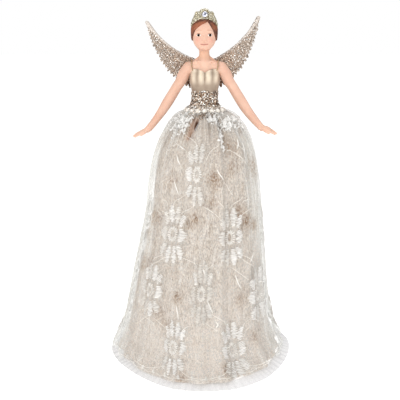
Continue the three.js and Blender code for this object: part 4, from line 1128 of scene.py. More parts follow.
tint(0.5 * front * gauss(np.abs(x) - 5.4, 2.6) * gauss(z - 275.0, 2.4), (216, 150, 134))
tint(0.25 * front * gauss(x, 1.6) * gauss(z - 274.2, 1.2), (216, 154, 134))
lipw = 3.1
lip_u = front * smooth(271.5, 271.7, z) * (1 - smooth(272.4 - 0.05 * x ** 2, 272.7 - 0.05 * x ** 2, z)) * (1 - smooth(lipw - 0.5, lipw + 0.3, np.abs(x)))
lip_l = front * (1 - smooth(271.5, 271.7, z)) * smooth(270.35 + 0.07 * x ** 2, 270.75 + 0.07 * x ** 2, z) * (1 - smooth(lipw - 0.7, lipw + 0.1, np.abs(x)))
tint(0.16 * lip_u, (204, 142, 126))
tint(0.27 * lip_l, (218, 142, 130))
tint(0.88 * front * gauss(z - 271.5 - 0.022 * x ** 2, 0.38) * (1 - smooth(2.5, 3.8, np.abs(x))), (156, 82, 72))
for sgn in (-1, 1):
    bx = sgn * x
    bz = 282.35 + 0.5 * np.sin(np.clip((bx - 2.0) / 5.0, 0, 1) * np.pi) - 0.06 * (bx - 2.2)
    tint(0.42 * front * gauss(z - bz, 0.3) * smooth(1.9, 2.9, bx) * (1 - smooth(6.2, 7.4, bx)), (146, 102, 82))
    tint(0.35 * front * gauss(z - (EYE_Z + 1.45 - 0.12 * (bx - EYE_X) ** 2), 0.28) * smooth(2.6, 3.2, bx) * (1 - smooth(6.4, 7.0, bx)), (166, 122, 102))
    tint(0.1 * front * gauss(bx - EYE_X, 2.6) * gauss(z - EYE_Z, 1.5), (204, 160, 140))
# painted shade along the underside of the jaw
tint(0.35 * smooth(269.0, 267.4, z) * smooth(-7.6, -5.4, y), (206, 154, 130))
col_attr(head, "col", colour)
m_face = Mat("painted_face", Roughness=0.55, Specular_IOR_Level=0.25, Subsurface_Weight=0.08, Subsurface_Scale=0.002)
m_face.b.inputs["Subsurface Radius"].default_value = (1.0, 0.45, 0.3)
fn = m_face.noise(m_face.place(None, (2.6, 2.6, 2.6)), 1.0, 2.0, 0.5)
m_face.to(m_face.mix(m_face.grey(fn, 0.3, 0.7, 0.0, 0.06), m_face.attr("col").outputs["Color"], srgb(236, 204, 186)), "Base Color")
m_face.bump(fn, 0.05, 0.0001)
paint(head, m_face, "head", "skin", "head")

# eyes: a low lens with painted rings, a lid line above each
eye_pile = Pile()
for sgn in (-1, 1):
    c0 = head_point(np.array([math.asin(EYE_X / 9.95) * sgn]), np.array([EYE_Z]))[0]
    nrm = np.array([sgn * 0.36, -0.93, 0.02])
    nrm /= np.linalg.norm(nrm)
    ex = np.cross(nrm, [0, 0, 1.0])
    ex /= np.linalg.norm(ex)
    if ex[0] < 0:
        ex = -ex
    ez = np.cross(ex, nrm)
    if ez[2] < 0:
        ez = -ez
    rings = np.concatenate([np.linspace(0.06, 0.5, 9), np.linspace(0.52, 1.0, 12)])
    aa = np.arange(36) / 36 * 2 * np.pi
    rows, cols = [], []
    for q in rings:
        ux, uz = q * np.cos(aa), q * np.sin(aa)
        px, pz = 1.9 * ux, 1.14 * uz * np.where(uz > 0, 1.0, 1.0)
        bulge = 0.55 * np.sqrt(np.clip(1 - q * q, 0, 1)) - 0.12
        rows.append(c0 + nrm * 0.08 + ex * px[:, None] + ez * pz[:, None] + nrm * bulge)
        rad = np.hypot(px, pz - 0.05)
        col = np.tile(np.array(srgb(254, 244, 236)[:3]), (36, 1))
        iris = smooth(1.27, 1.1, rad)[:, None]
        col = col * (1 - iris) + np.array(srgb(58, 26, 10)[:3]) * iris
        pup = smooth(0.98, 0.76, rad)[:, None]
        col = col * (1 - pup) + np.array(srgb(18, 6, 2)[:3]) * pup
        glint = smooth(0.14, 0.08, np.hypot(px + 0.4, pz - 0.5))[:, None]
        col = col * (1 - glint) + glint
        cols.append(col)
    pts, faces = closed_tube(rows, 36)
    cc = np.concatenate(cols + [cols[0].mean(0)[None], cols[-1].mean(0)[None]])
    eye_pile.add(pts, faces, col=cc)
    t = np.linspace(-1, 1, 17)
    lid = c0 + nrm * (0.16 + 0.2 * (1 - t[:, None] ** 2)) + ex * (1.9 * t)[:, None] + ez * (1.22 * np.sqrt(np.clip(1 - (0.96 * t) ** 2, 0, 1)))[:, None]
    pts, faces = path_tube(lid, 0.1 * (1 - 0.45 * np.abs(t)), 8)
    eye_pile.add(pts, faces, col=np.array(srgb(150, 112, 94)[:3]))
m_eye = Mat("painted_eye", Roughness=0.6, Specular_IOR_Level=0.02)
m_eye.to(m_eye.mix(m_eye.grey(m_eye.noise(m_eye.place(None, (3, 3, 3))), 0.3, 0.7, 0.0, 0.12), m_eye.attr("col").outputs["Color"], srgb(40, 26, 20)), "Base Color")
paint(eye_pile.build("eyes"), m_eye, "head", "skin")

# ------------------------------------------------------------------ hair

HL = Curve([(266, -140), (269.5, -126), (272, -106), (274.6, -88), (277.7, -67), (281, -52), (283.8, -36), (286.6, -14), (288.6, 10), (289.4, 18)])
HR = Curve([(266, 140), (269.5, 126), (272, 106), (274.6, 86), (277.7, 61), (280.2, 50.5), (283.4, 38), (286.6, 28), (288.6, 22), (289.4, 18.4)])


# half of the tiara from the middle outwards: sideways distance of its foot, and height of its wall there
CREST = Curve([(0, 8.35), (1.7, 8.25), (2.8, 7.6), (3.6, 6.6), (4.6, 6.7), (6.0, 7.5), (6.8, 7.0), (7.5, 5.5), (8.3, 4.5), (9.1, 3.6), (9.8, 2.6), (10.4, 1.7)])
FOOT = Curve([(0, 291.42), (2.5, 291.2), (5.0, 290.45), (7.0, 289.35), (8.6, 288.1), (9.6, 287.0), (10.4, 285.7)])


def hair():
    nu, nv = 420, 200
    u = np.linspace(-np.pi, np.pi, nu, endpoint=False)
    z = np.linspace(268.6, 291.5, nv)
    uu, zz = np.meshgrid(u, z)
    deg = np.degrees(uu)
    r = HRX(zz)
    dl = (HL(zz) - deg) * np.pi / 180 * r
    dr = (deg - HR(zz)) * np.pi / 180 * r
    d = np.maximum(dl, dr)
    d = np.where(zz > 289.3, np.maximum(d, 3.0), d)
    low = zz - (270.0 + 4.4 * smooth(158, 105, np.abs(deg)))
    edge = np.minimum(d, low)
    thick = 1.05 * smooth(-0.15, 1.2, edge) ** 0.8 - 0.9 * smooth(0.0, -0.8, edge)
    p0 = head_point(uu, zz, 0.0, False)
    # strands: along the hairline at the front, running into the knot at the back
    front_c = edge
    ang = np.arctan2(p0[..., 2] - 281, p0[..., 0])
    back = smooth(0.0, 6.0, p0[..., 1])
    wob = 0.6 * np.sin(zz * 0.7 + deg * 0.03)
    f1 = np.cos(2 * np.pi * front_c / 0.95 + wob) * 0.5 + 0.35 * np.cos(2 * np.pi * front_c / 0.41 + 1.3 + 2 * wob) + 0.25 * np.cos(2 * np.pi * front_c / 0.23 + 3 * wob)
    b1 = np.cos(44 * ang + wob) * 0.5 + 0.35 * np.cos(97 * ang + 1.1) + 0.25 * np.cos(151 * ang + 0.4)
    groove = (1 - back) * f1 + back * b1
    part = gauss(p0[..., 0] - (2.0 - 0.1 * (p0[..., 1] + 6)), 0.42) * smooth(287.8, 289.2, zz) * (1 - smooth(2, 6, p0[..., 1]))
    volume = 0.1 * gauss(np.abs(deg) - 75, 30) * smooth(273, 279, zz)
    g = thick + volume * smooth(0, 1.5, edge) + 0.13 * groove * smooth(0.2, 1.0, edge) - 0.45 * part
    nrm = np.stack([p0[..., 0] / r ** 2, p0[..., 1] / np.where(p0[..., 1] < 0, HFR(zz), HBK(zz)) ** 2, (zz - 279.5) / 150.0], -1)
    nrm /= np.linalg.norm(nrm, axis=-1)[..., None]
    p = p0 + nrm * g[..., None]
    pts, faces = closed_tube(p, nu)
    ob = make("hair_strands", pts, faces)
    # strand: painted shade in the grooves between strands and in the parting, with painted highlight on the strand
    # ridges
    shade = np.concatenate([np.clip(0.5 + 0.45 * groove - 0.8 * part, 0, 1).ravel(), [0.5, 0.5]])
    num_attr(ob, "strand", shade)
    # deep: painted shade on the hair, darker down the sides, toward the crown, along the hairline and on the side away
    # from the key light, with a painted shadow under the front of the tiara
    num_attr(ob, "deep", np.concatenate([(np.clip(np.maximum(smooth(288, 277, zz) * smooth(24, 60, np.abs(deg)), 0.85 * smooth(288.6, 290.2, zz)) * np.where(deg < 0, 0.8, 1.0) + np.where(deg < 18, 0.75 * smooth(286, 280, zz), 0.9) * smooth(1.5, 0.2, edge) + 0.25 * smooth(18, 26, deg) * (1 - back)
                                                  + 1.2 * gauss(FOOT(np.abs(p0[..., 0])) - 1.7 - zz, 0.62) * (p0[..., 1] < 0), 0, 1)).ravel(), [0.5, 0.0]]))
    # drop what lies under the skin
    keep = np.concatenate([(edge > -0.75).ravel(), [False, True]])
    bm = bmesh.new()
    bm.from_mesh(ob.data)
    bm.verts.ensure_lookup_table()
    bmesh.ops.delete(bm, geom=[v for v in bm.verts if not keep[v.index]], context="VERTS")
    bm.to_mesh(ob.data)
    bm.free()
    return ob


m_hair = Mat("moulded_hair", Roughness=0.46, Specular_IOR_Level=0.25)
hs = m_hair.attr("strand").outputs["Fac"]
hn = m_hair.noise(m_hair.place(None, (0.35, 0.35, 0.35)), 1.0, 2.0, 0.5)
# strand colours: dark for the painted shade in the grooves, light for the painted highlight on the ridges
hc = m_hair.ramp(hs, [(0.08, srgb(92, 46, 30)), (0.5, srgb(152, 88, 62)), (0.92, srgb(192, 122, 92))])
# deep darkens the hair colour: painted shade, and the painted shadow of the tiara
hc = m_hair.mix(m_hair.math("MULTIPLY", m_hair.attr("deep").outputs["Fac"], 0.88), hc, srgb(62, 33, 24))
m_hair.to(m_hair.mix(m_hair.grey(hn, 0.4, 0.7, 0.0, 0.3), hc, srgb(186, 122, 90)), "Base Color")
paint(hair(), m_hair, "head", "hair", "hair_cap")


def bun():
    nu, nv = 160, 110
    be = np.linspace(0, 2 * np.pi, nu, endpoint=False)
    al = np.linspace(0.03, np.pi - 0.03, nv)
    bb, aa = np.meshgrid(be, al)
    coil = np.cos(2 * np.pi * (aa / 0.62) - bb)
    fine = np.cos(2 * np.pi * (aa / 0.62) * 5 - 5 * bb) * 0.5 + 0.4 * np.cos(2 * np.pi * (aa / 0.62) * 11 - 11 * bb)
    k = 1 + 0.07 * coil * np.sin(aa) + 0.016 * fine
    p = np.stack([5.75 * k * np.sin(aa) * np.cos(bb), 16.4 + 4.75 * k * np.cos(aa), 281 + 5.35 * k * np.sin(aa) * np.sin(bb)], -1)
    pts, faces = closed_tube(p, nu)
    ob = make("hair_knot", pts, faces)
    num_attr(ob, "deep", np.full(len(pts), 0.35))
    # strand on the knot: painted shade in the coil grooves and painted highlight on their ridges
    num_attr(ob, "strand", np.concatenate([np.clip(0.45 + 0.3 * coil + 0.3 * fine, 0, 1).ravel(), [0.4, 0.4]]))
    return ob


paint(bun(), m_hair, "head", "hair", "hair_bun")

# ------------------------------------------------------------------ glitter


def flakes(pile, spots, normals, size, tilt, palette, weights, rng):
    spots, normals = np.asarray(spots, float), np.asarray(normals, float)
    n = len(spots)
    nn = normals + rng.normal(0, tilt, (n, 3))
    nn /= np.linalg.norm(nn, axis=1)[:, None]
    ref = rng.normal(0, 1, (n, 3))
    a = np.cross(nn, ref)
    a /= np.linalg.norm(a, axis=1)[:, None]
    b = np.cross(nn, a)
    r = rng.uniform(size[0], size[1], n)
    ang = np.arange(6) / 6 * 2 * np.pi
    ring = spots[:, None] + r[:, None, None] * (np.cos(ang)[None, :, None] * a[:, None] + np.sin(ang)[None, :, None] * b[:, None])
    top = spots + nn * 0.07
    low = spots - nn * 0.07
    allp = np.concatenate([ring, top[:, None], low[:, None]], 1)
    base = (np.arange(n) * 8)[:, None, None]
    tri = np.array([[6, i, (i + 1) % 6] for i in range(6)] + [[7, (i + 1) % 6, i] for i in range(6)])
    faces = (tri[None] + base).reshape(-1, 3)
    pick_ = rng.choice(len(palette), n, p=np.array(weights) / sum(weights))
    cols = np.array([srgb(*c)[:3] for c in palette])[pick_] * rng.uniform(0.82, 1.12, n)[:, None]
    pile.add(allp.reshape(-1, 3), faces, col=np.repeat(np.clip(cols, 0, 1), 8, 0))


def glitter_mat(name, rough=0.24, metal=0.75):
    m = Mat(name, Roughness=rough, Metallic=metal, Specular_IOR_Level=0.6)
    q = m.noise(m.place(None, (1.3, 1.3, 1.3)), 1.0, 1.0, 0.5)
    m.to(m.mix(m.grey(q, 0.35, 0.65, 0.0, 0.22), m.attr("col").outputs["Color"], srgb(255, 250, 242)), "Base Color")
    return m


m_glit = glitter_mat("loose_glitter")
m_bed = Mat("glitter_bed", Roughness=0.6, Specular_IOR_Level=0.3, Metallic=0.2)
bn = m_bed.noise(m_bed.place(None, (1.6, 1.6, 1.6)), 1.0, 3.0, 0.7)
# painted shade: the bed is darkened at the lower inner root of the wing, next to the body
m_bed.to(m_bed.mix(m_bed.attr("root_shade").outputs["Fac"], m_bed.ramp(bn, [(0.3, srgb(132, 112, 96)), (0.55, srgb(178, 160, 144)), (0.75, srgb(214, 202, 190))]), srgb(92, 60, 40)), "Base Color")
m_bed.bump(bn, 0.6, 0.0004)
m_rim = Mat("wing_rim", Roughness=0.45, Specular_IOR_Level=0.4, Metallic=0.15)
rn = m_rim.noise(m_rim.place(None, (0.9, 0.9, 0.9)), 1.0, 4.0, 0.7)
m_rim.to(m_rim.ramp(rn, [(0.3, srgb(176, 162, 150)), (0.5, srgb(208, 198, 189)), (0.72, srgb(236, 229, 222))]), "Base Color")
m_rim.bump(rn, 0.4, 0.0003)

# ------------------------------------------------------------------ wings

LEAD = [(38.0, 282.4), (34.2, 278.4), (30.4, 274.8), (26.8, 271.6), (23.0, 268.6), (19.2, 266.0), (15.6, 263.8), (12.4, 262.0), (10.0, 260.6), (8.4, 259.2), (7.2, 256.8), (6.8, 253.5)]
TRAIL = [(45.0, 294.8), (45.1, 288.4), (44.1, 281.6), (42.2, 274.7), (39.9, 268.0), (37.6, 261.9), (34.4, 255.9), (30.0, 249.5), (24.6, 243.1), (19.0, 238.2), (12.8, 235.9), (7.6, 238.0)]


def along(points, t):
    p = np.array(points, float)
    k = np.concatenate([[0], np.cumsum(np.hypot(*np.diff(p, axis=0).T))])
    return np.stack([np.interp(np.asarray(t) * k[-1], k, p[:, 0]), np.interp(np.asarray(t) * k[-1], k, p[:, 1])], -1)


def quills(n, reach, half, seed):
    """Feathers from the leading edge towards the trailing edge, reaching a share of the way."""
    g = np.random.default_rng(seed)
    t = np.linspace(0, 1, n)
    b, e = along(LEAD, t), along(TRAIL, t)
    reach = reach * g.uniform(0.96, 1.03, n)
    e = b + (e - b) * reach[:, None]
    return [(b[i], e[i], half * g.uniform(0.92, 1.08)) for i in range(n)]


FEATHERS = quills(23, 1.0, 2.2, 1)
COVERTS = quills(17, 0.7, 2.3, 2) + quills(14, 0.42, 2.2, 3)
EDGE = [(6.4, 258.4), (8.8, 259.4), (12.4, 261.3), (17.9, 264.6), (23.0, 268.1), (28.4, 272.3), (32.1, 275.9), (35.8, 279.8), (39.3, 284.3), (42.7, 289.3), (45.2, 293.4)]


def wing_y(x):
    return 11.9 + 0.0016 * (np.asarray(x, float) - 6) ** 2


def feather(base, tip, half, lift, twist):
    """(points, faces, sampler) of a lens-shaped feather lying in the wing."""
    base, tip = np.array(base, float), np.array(tip, float)
    ax = tip - base
    L = np.hypot(*ax)
    ax /= L
    side = np.array([-ax[1], ax[0]])
    na, nb = 24, 9

    def surf(a, b, face):
        wd = half * (0.5 + 0.5 * smooth(0, 0.5, a)) * np.clip(1 - a ** 6, 0, 1) ** 0.58
        c = base[:, None] + ax[:, None] * (a * L)[None]
        bow = 0.05 * L * np.sin(np.pi * a)
        xz = c + side[:, None] * (b * wd + bow)[None]
        th = 0.45 * np.sqrt(np.clip(1 - b ** 2, 0, 1)) * np.sqrt(np.clip(1 - a ** 9, 0.02, 1)) + 0.1
        barb = 0.1 * np.cos(2 * np.pi * (a * L / 1.6 - np.abs(b) * half / 1.3)) - 0.16 * gauss(b, 0.09)
        y = wing_y(xz[0]) + lift + twist * b + face * (th + barb * np.clip(1 - b ** 2, 0, 1))
        return np.stack([xz[0], y, xz[1]], -1)

    a = 1 - np.linspace(1, 0.02, na) ** 1.6
    rows = []
    for q in a:
        b = np.linspace(-1, 1, nb)
        fr = surf(np.full(nb, q), b, -1.0)
        bk = surf(np.full(nb - 2, q), b[1:-1][::-1], 1.0)
        rows.append(np.concatenate([fr, bk]))
    pts, faces = closed_tube(rows, 2 * nb - 2)
    return pts, faces, surf, L, half


GLIT = [(80, 64, 52), (150, 134, 120), (200, 188, 176), (232, 224, 216), (255, 254, 252)]
GLIT_IN = [(92, 62, 42), (166, 130, 102), (214, 180, 152), (238, 216, 194), (255, 248, 238)]
# flake colours for the painted shade at the wing root
GLIT_ROOT_SHADE = [(62, 38, 24), (108, 74, 50), (150, 112, 84), (184, 150, 122), (236, 216, 196)]
WEIGHT = [0.2, 0.25, 0.23, 0.15, 0.17]


def wing(side, sgn):
    bed, glit, rim = Pile(), Pile(), Pile()
    rng = np.random.default_rng(60 + sgn)
    fs = []
    for i, (b, t, h) in enumerate(FEATHERS):
        fs.append(feather(b, t, h, 0.1, 0.28))
    for i, (b, t, h) in enumerate(COVERTS):
        deep = 0.3 if i < 17 else 0.55
        fs.append(feather(b, t, h, -deep, 0.2))
        fs.append(feather(b, t, h, deep + 0.15, 0.2))
    e = np.array(EDGE)
    top = lambda q: np.interp(q[:, 0], e[:, 0], e[:, 1])            # level of the leading edge: no feather stands out past it
    for pts, faces, surf, L, half in fs:
        pts[:, 2] = np.minimum(pts[:, 2], top(pts) + 0.25)
        bed.add(pts, faces)
        count = int(L * half * 2 * 0.78 * 1.15)
        for face in (-1.0, 1.0):
            a = np.sqrt(rng.uniform(0.0, 0.99, count))
            b = rng.uniform(-1.0, 1.0, count)
            p = surf(a, b, face)
            ok = p[:, 2] < top(p)
            p, b = p[ok], b[ok]
            n = len(p)
            p[:, 1] += face * 0.1
            nr = np.stack([0.25 * b, np.full(n, face), 0 * b], -1)
            inner = smooth(33, 13, p[:, 0])
            k = rng.uniform(0, 1, n) < inner
            flakes(glit, p[~k], nr[~k], (0.29, 0.48), 0.42, GLIT, WEIGHT if sgn > 0 else [0.23, 0.28, 0.22, 0.13, 0.14], rng)
            # painted shade: darker flakes at the lower inner root of the wing
            deep = k & (rng.uniform(0, 1, n) < smooth(251, 244, p[:, 2]) * smooth(22, 15, p[:, 0]))
            k &= ~deep
            if k.any():
                flakes(glit, p[k], nr[k], (0.3, 0.5), 0.42, GLIT_IN, WEIGHT, rng)
            if deep.any():
                flakes(glit, p[deep], nr[deep], (0.3, 0.5), 0.42, GLIT_ROOT_SHADE, WEIGHT, rng)
    # padded leading edge and the sleeve that swings on the wire
    t = np.linspace(0, 1, 60)
    ex = np.interp(t, np.linspace(0, 1, len(e)), e[:, 0])
    ez = np.interp(t, np.linspace(0, 1, len(e)), e[:, 1])
    path_ = np.stack([ex, wing_y(ex), ez], -1)
    pts, faces = path_tube(path_, Curve([(0, 0.9), (0.3, 1.0), (0.55, 1.1), (0.8, 1.35), (0.95, 1.7), (1, 1.5)])(t), 14)
    rim.add(pts, faces)
    rim.add(*ball(path_[-1], 1.5, 18, 12))
    n = 760
    k = rng.uniform(0, 1, n)
    c = np.stack([np.interp(k, t, path_[:, i]) for i in range(3)], -1)
    an = rng.uniform(0, 2 * np.pi, n)
    tang = np.stack([np.interp(k, t, np.gradient(path_[:, i])) for i in range(3)], -1)
    tang /= np.linalg.norm(tang, axis=1)[:, None]
    n1 = np.cross(tang, [0, 1.0, 0])
    nr = n1 * np.cos(an)[:, None] + np.array([0, 1.0, 0]) * np.sin(an)[:, None]
    far = k > 0.5
    flakes(glit, (c + nr * 1.0)[~far], nr[~far], (0.28, 0.45), 0.3, [(92, 72, 58), (150, 130, 114), (206, 190, 176), (255, 252, 248)], [0.38, 0.3, 0.2, 0.12], rng)
    some = far & (rng.uniform(0, 1, n) < (0.25 if sgn > 0 else 0.6))
    full = far & (sgn > 0)
    grow = 1.15 + 0.5 * smooth(0.7, 0.95, k)[:, None]
    if full.any():
        flakes(glit, (c + nr * grow)[full], nr[full], (0.28, 0.46), 0.4, GLIT, WEIGHT, rng)
    flakes(glit, (c + nr * grow)[some], nr[some], (0.16, 0.3), 0.2, [(190, 180, 170), (218, 210, 202), (240, 234, 228), (255, 253, 250)], [0.25, 0.35, 0.25, 0.15], rng)
    aa = np.arange(24) / 24 * 2 * np.pi
    prof = [(0.95, 246.9), (2.0, 246.9), (2.05, 250.9), (2.0, 254.9), (0.95, 254.9), (0.95, 250.9)]
    rows = [np.stack([4.6 + r * np.cos(aa), 11.9 + r * np.sin(aa), np.full(24, z)], -1) for r, z in prof]
    pv = np.concatenate(rows)
    pf = grid_faces(24, len(prof), True).tolist()
    m_ = (len(prof) - 1) * 24
    pf += [[m_ + i, m_ + (i + 1) % 24, (i + 1) % 24, i] for i in range(24)]
    bed.add(pv, pf)
    bridge = [np.stack([np.full(20, x), 11.9 + 1.1 * np.cos(aa[:20] * 1.2), 250.9 + (3.6 + 0.9 * (x - 6)) * np.sin(aa[:20] * 1.2)], -1) for x in (5.9, 6.8, 7.8, 8.8)]
    bed.add(*closed_tube(bridge, 20))
    n = 260
    an, zz_ = rng.uniform(0, 2 * np.pi, n), rng.uniform(247.0, 254.8, n)
    nr = np.stack([np.cos(an), np.sin(an), 0 * an], -1)
    flakes(glit, np.stack([4.6 + 2.08 * np.cos(an), 11.9 + 2.08 * np.sin(an), zz_], -1), nr, (0.28, 0.42), 0.3, GLIT_IN, WEIGHT, rng)
    for pile, name, mat in ((bed, "wing_%s_feathers", m_bed), (rim, "wing_%s_rim", m_rim), (glit, "wing_%s_glitter", m_glit)):
        if sgn < 0:
            for v in pile.v:
                # hung a little lower than the other
                k = math.radians(5.2) * smooth(6, 16, v[:, 0])
                dx, dz = v[:, 0] - 5.9, v[:, 2] - 250.0
                v[:, 0], v[:, 2] = 5.9 + dx * np.cos(k) + dz * np.sin(k), 250.0 - dx * np.sin(k) + dz * np.cos(k)
                v[:, 0] *= -1
            pile.f = [f[::-1] for f in pile.f]
        ob = pile.build(name % side, pile is not glit)
        if pile is bed:
            q = points_of(ob)
            # painted shade at the lower inner root of the wing
            num_attr(ob, "root_shade", smooth(251, 243, q[:, 2]) * smooth(22, 14, np.abs(q[:, 0])))
        paint(ob, mat, "wing_" + side, "glitter", *(["wing_" + side] if pile is bed else []))


wing("left", 1)
wing("right", -1)

# ------------------------------------------------------------------ bodice, straps, waist, belt

NECKLINE = Curve([(0, 249.0), (14, 250.7), (34, 251.9), (52, 251.9), (62, 251.5), (70, 250.2), (78, 247.8), (90, 245.4), (130, 243.2), (180, 242.4)])


def bodice():
    nu, nv = 320, 70
    u = np.linspace(-np.pi, np.pi, nu, endpoint=False)
    t = np.linspace(0, 1, nv)
    uu, tt = np.meshgrid(u, t)
    low = 231.6
    z = low + (NECKLINE(np.abs(np.degrees(uu))) - low) * tt
    zc = np.minimum(z, 250)

    wide = Curve([(231.6, 9.7), (234, 9.9), (238, 10.8), (241, 11.45), (244, 11.6), (246, 11.65), (247.5, 11.55), (250, 11.35), (252.5, 11.0)])

    def shell(grow, puff):
        rx, fr, bk = wide(z) + grow, TFR(zc) + grow, TBK(zc) + grow
        sn, cs = np.sin(uu), np.cos(uu)
        x, y = rx * sn, -cs * np.where(cs > 0, fr, bk)
        ax = np.abs(x)
        ridge = gauss(ax - 2.9, 2.1) + 0.9 * gauss(ax - 9.0, 1.9) - 0.3 * gauss(ax - 6.1, 1.1) - 0.55 * gauss(ax, 0.4)
        up = smooth(236.6, 245.4, z)
        bust = 1.15 * np.exp(-((np.degrees(np.abs(uu)) - 30) / 26) ** 2 - ((z - 246.2) / 4.4) ** 2)
        k = puff * (0.75 * ridge * up * smooth(0.1, 0.4, cs) + bust)
        nx, ny = sn / rx, -cs / np.where(cs > 0, fr, bk)
        nn = np.hypot(nx, ny)
        lit = np.clip(ridge, -1, 1) * up * smooth(0.1, 0.4, cs)
        return np.stack([x + k * nx / nn, y + k * ny / nn, z], -1), lit
    (out, lit), (inn, _) = shell(1.25, 1.0), shell(0.45, 0.85)
    lip = 0.5 * (out[-1] + inn[-1]) + np.array([0, 0, 0.28])
    foot = 0.5 * (out[0] + inn[0]) - np.array([0, 0, 0.15])
    rows = np.concatenate([out, lip[None], inn[::-1], foot[None]])
    n = len(rows)
    f = grid_faces(nu, n, True).tolist()
    a = (n - 1) * nu
    f += [[a + i, a + (i + 1) % nu, (i + 1) % nu, i] for i in range(nu)]
    ob = make("bodice_satin", rows.reshape(-1, 3), f)
    shade = np.clip(0.44 + 0.37 * lit - 0.13 * smooth(243, 236, z), 0, 1)
    num_attr(ob, "shade", np.concatenate([shade, shade[-1:], shade[::-1], shade[:1]]).ravel())
    return ob


m_bod = Mat("champagne_satin", Roughness=0.5, Metallic=0.2, Specular_IOR_Level=0.5, Sheen_Weight=0.1)
b1 = m_bod.noise(m_bod.place(None, (0.25, 0.25, 0.25)), 1.0, 2.0, 0.5)
b2 = m_bod.noise(m_bod.place(None, (3.0, 3.0, 3.0)), 1.0, 2.0, 0.5)
m_bod.to(m_bod.mix(m_bod.grey(b1, 0.35, 0.65, 0.0, 0.12), m_bod.ramp(m_bod.attr("shade").outputs["Fac"], [(0.05, srgb(112, 92, 76)), (0.4, srgb(158, 139, 121)), (0.9, srgb(242, 226, 203))]), srgb(236, 220, 196)), "Base Color")
m_bod.bump(b2, 0.04, 0.0001)
paint(bodice(), m_bod, "stand", "bodice", "bodice")

m_cord = Mat("gold_cord", Roughness=0.4, Metallic=0.6)
c1 = m_cord.noise(m_cord.place(None, (2.0, 2.0, 2.0)), 1.0, 2.0, 0.5)
m_cord.to(m_cord.ramp(c1, [(0.3, srgb(150, 116, 84)), (0.7, srgb(206, 178, 142))]), "Base Color")
STRAP = [(10.1, -7.0, 250.9), (10.6, -6.8, 252.6), (10.9, -5.2, 256.9), (11, 0, 259.35), (10.7, 5.2, 256.9), (9.9, 7.2, 251.5), (8.9, 7.7, 247), (8.4, 8.2, 244.2)]


def spline(points, n):
    p = np.array(points, float)
    t = np.concatenate([[0], np.cumsum(np.linalg.norm(np.diff(p, axis=0), axis=1))])
    q = np.linspace(0, t[-1], n)
    m = np.zeros_like(p)
    m[1:-1] = (p[2:] - p[:-2]) / (t[2:] - t[:-2])[:, None]
    m[0], m[-1] = (p[1] - p[0]) / (t[1] - t[0]), (p[-1] - p[-2]) / (t[-1] - t[-2])
    i = np.clip(np.searchsorted(t, q, side="right") - 1, 0, len(t) - 2)
    h = (t[i + 1] - t[i])[:, None]
    s = (q - t[i])[:, None] / h
    return p[i] * (1 + 2 * s) * (1 - s) ** 2 + m[i] * h * s * (1 - s) ** 2 + p[i + 1] * s * s * (3 - 2 * s) + m[i + 1] * h * s * s * (s - 1)


for side, sgn in (("left", 1), ("right", -1)):
    pile = Pile()
    core = spline(STRAP, 150)
    tng = np.gradient(core, axis=0)
    tng /= np.linalg.norm(tng, axis=1)[:, None]
    n1 = np.cross(tng, [1.0, 0, 0])
    n1 /= np.linalg.norm(n1, axis=1)[:, None]
    n2 = np.cross(tng, n1)
    dist = np.linspace(0, 24, 150) / 1.25 * 2 * np.pi
    for k in (0, np.pi):
        p = core + 0.22 * (np.cos(dist + k)[:, None] * n1 + np.sin(dist + k)[:, None] * n2)
        pts, faces = path_tube(p, 0.26, 7)
        if sgn < 0:
            pts, faces = mirror_x(pts, faces)
        pile.add(pts, faces)
    paint(pile.build("strap_%s_cord" % side), m_cord, "stand", "gold_cord", "strap_" + side)

WBR = Curve([(216.6, 14.8), (218.5, 14.5), (221, 13.1), (224, 11.5), (228, 10.7), (232.4, 11.0)])
WBD = Curve([(216.6, 14.6), (218.5, 14.2), (221, 12.4), (224, 10.7), (228, 9.7), (232.4, 9.9)])
nu, nv = 120, 26
u = np.linspace(-np.pi, np.pi, nu, endpoint=False)
wz = np.linspace(217.2, 232.9, nv)
ragged = waves(7, 24, 8, 41)
rows = []
for q in wz:
    k = 1 - 0.02 * smooth(230.8, 232.3, q)
    zq = q + (0.4 * ragged(u) + 0.9 * np.exp(-(u / 0.55) ** 2)) * smooth(228, 232.3, q)
    rows.append(np.stack([(WBR(q) - 0.25) * k * np.sin(u), -(WBD(q) - 0.25) * k * np.cos(u), zq], -1))
inner = [np.stack([(TRX(q) + 0.15) * np.sin(u), -(TFR(q) + 0.15) * np.cos(u), np.full(nu, q)], -1) for q in wz[::-1]]
rows = np.concatenate([np.array(rows), np.array(inner)])
f = grid_faces(nu, len(rows), True).tolist()
a = (len(rows) - 1) * nu
f += [[a + i, a + (i + 1) % nu, (i + 1) % nu, i] for i in range(nu)]
m_wbed = Mat("waist_bed", Roughness=0.6, Specular_IOR_Level=0.3, Metallic=0.2)
wn_ = m_wbed.noise(m_wbed.place(None, (1.2, 1.2, 1.2)), 1.0, 3.0, 0.7)
m_wbed.to(m_wbed.mix(m_wbed.math("MULTIPLY", m_wbed.attr("pale").outputs["Fac"], 0.85), m_wbed.ramp(wn_, [(0.3, srgb(96, 70, 50)), (0.55, srgb(150, 122, 98)), (0.75, srgb(190, 166, 142))]), srgb(222, 212, 200)), "Base Color")
m_wbed.bump(wn_, 0.6, 0.0004)
wb_ = make("waistband_base", rows.reshape(-1, 3), f)
num_attr(wb_, "pale", smooth(224.0, 220.0, rows.reshape(-1, 3)[:, 2]))
paint(wb_, m_wbed, "stand", "glitter", "waistband")
rng = np.random.default_rng(91)
n = 2500
th = rng.uniform(-np.pi, np.pi, n)
q = rng.uniform(217.2, 233.3, n)
q = np.where(q > 229.5, q + (0.5 * ragged(th) + 1.1 * np.exp(-(th / 0.55) ** 2)) * smooth(229, 232.3, q), q)
p = np.stack([(WBR(q) + 0.1) * np.sin(th), -(WBD(q) + 0.1) * np.cos(th), q], -1)
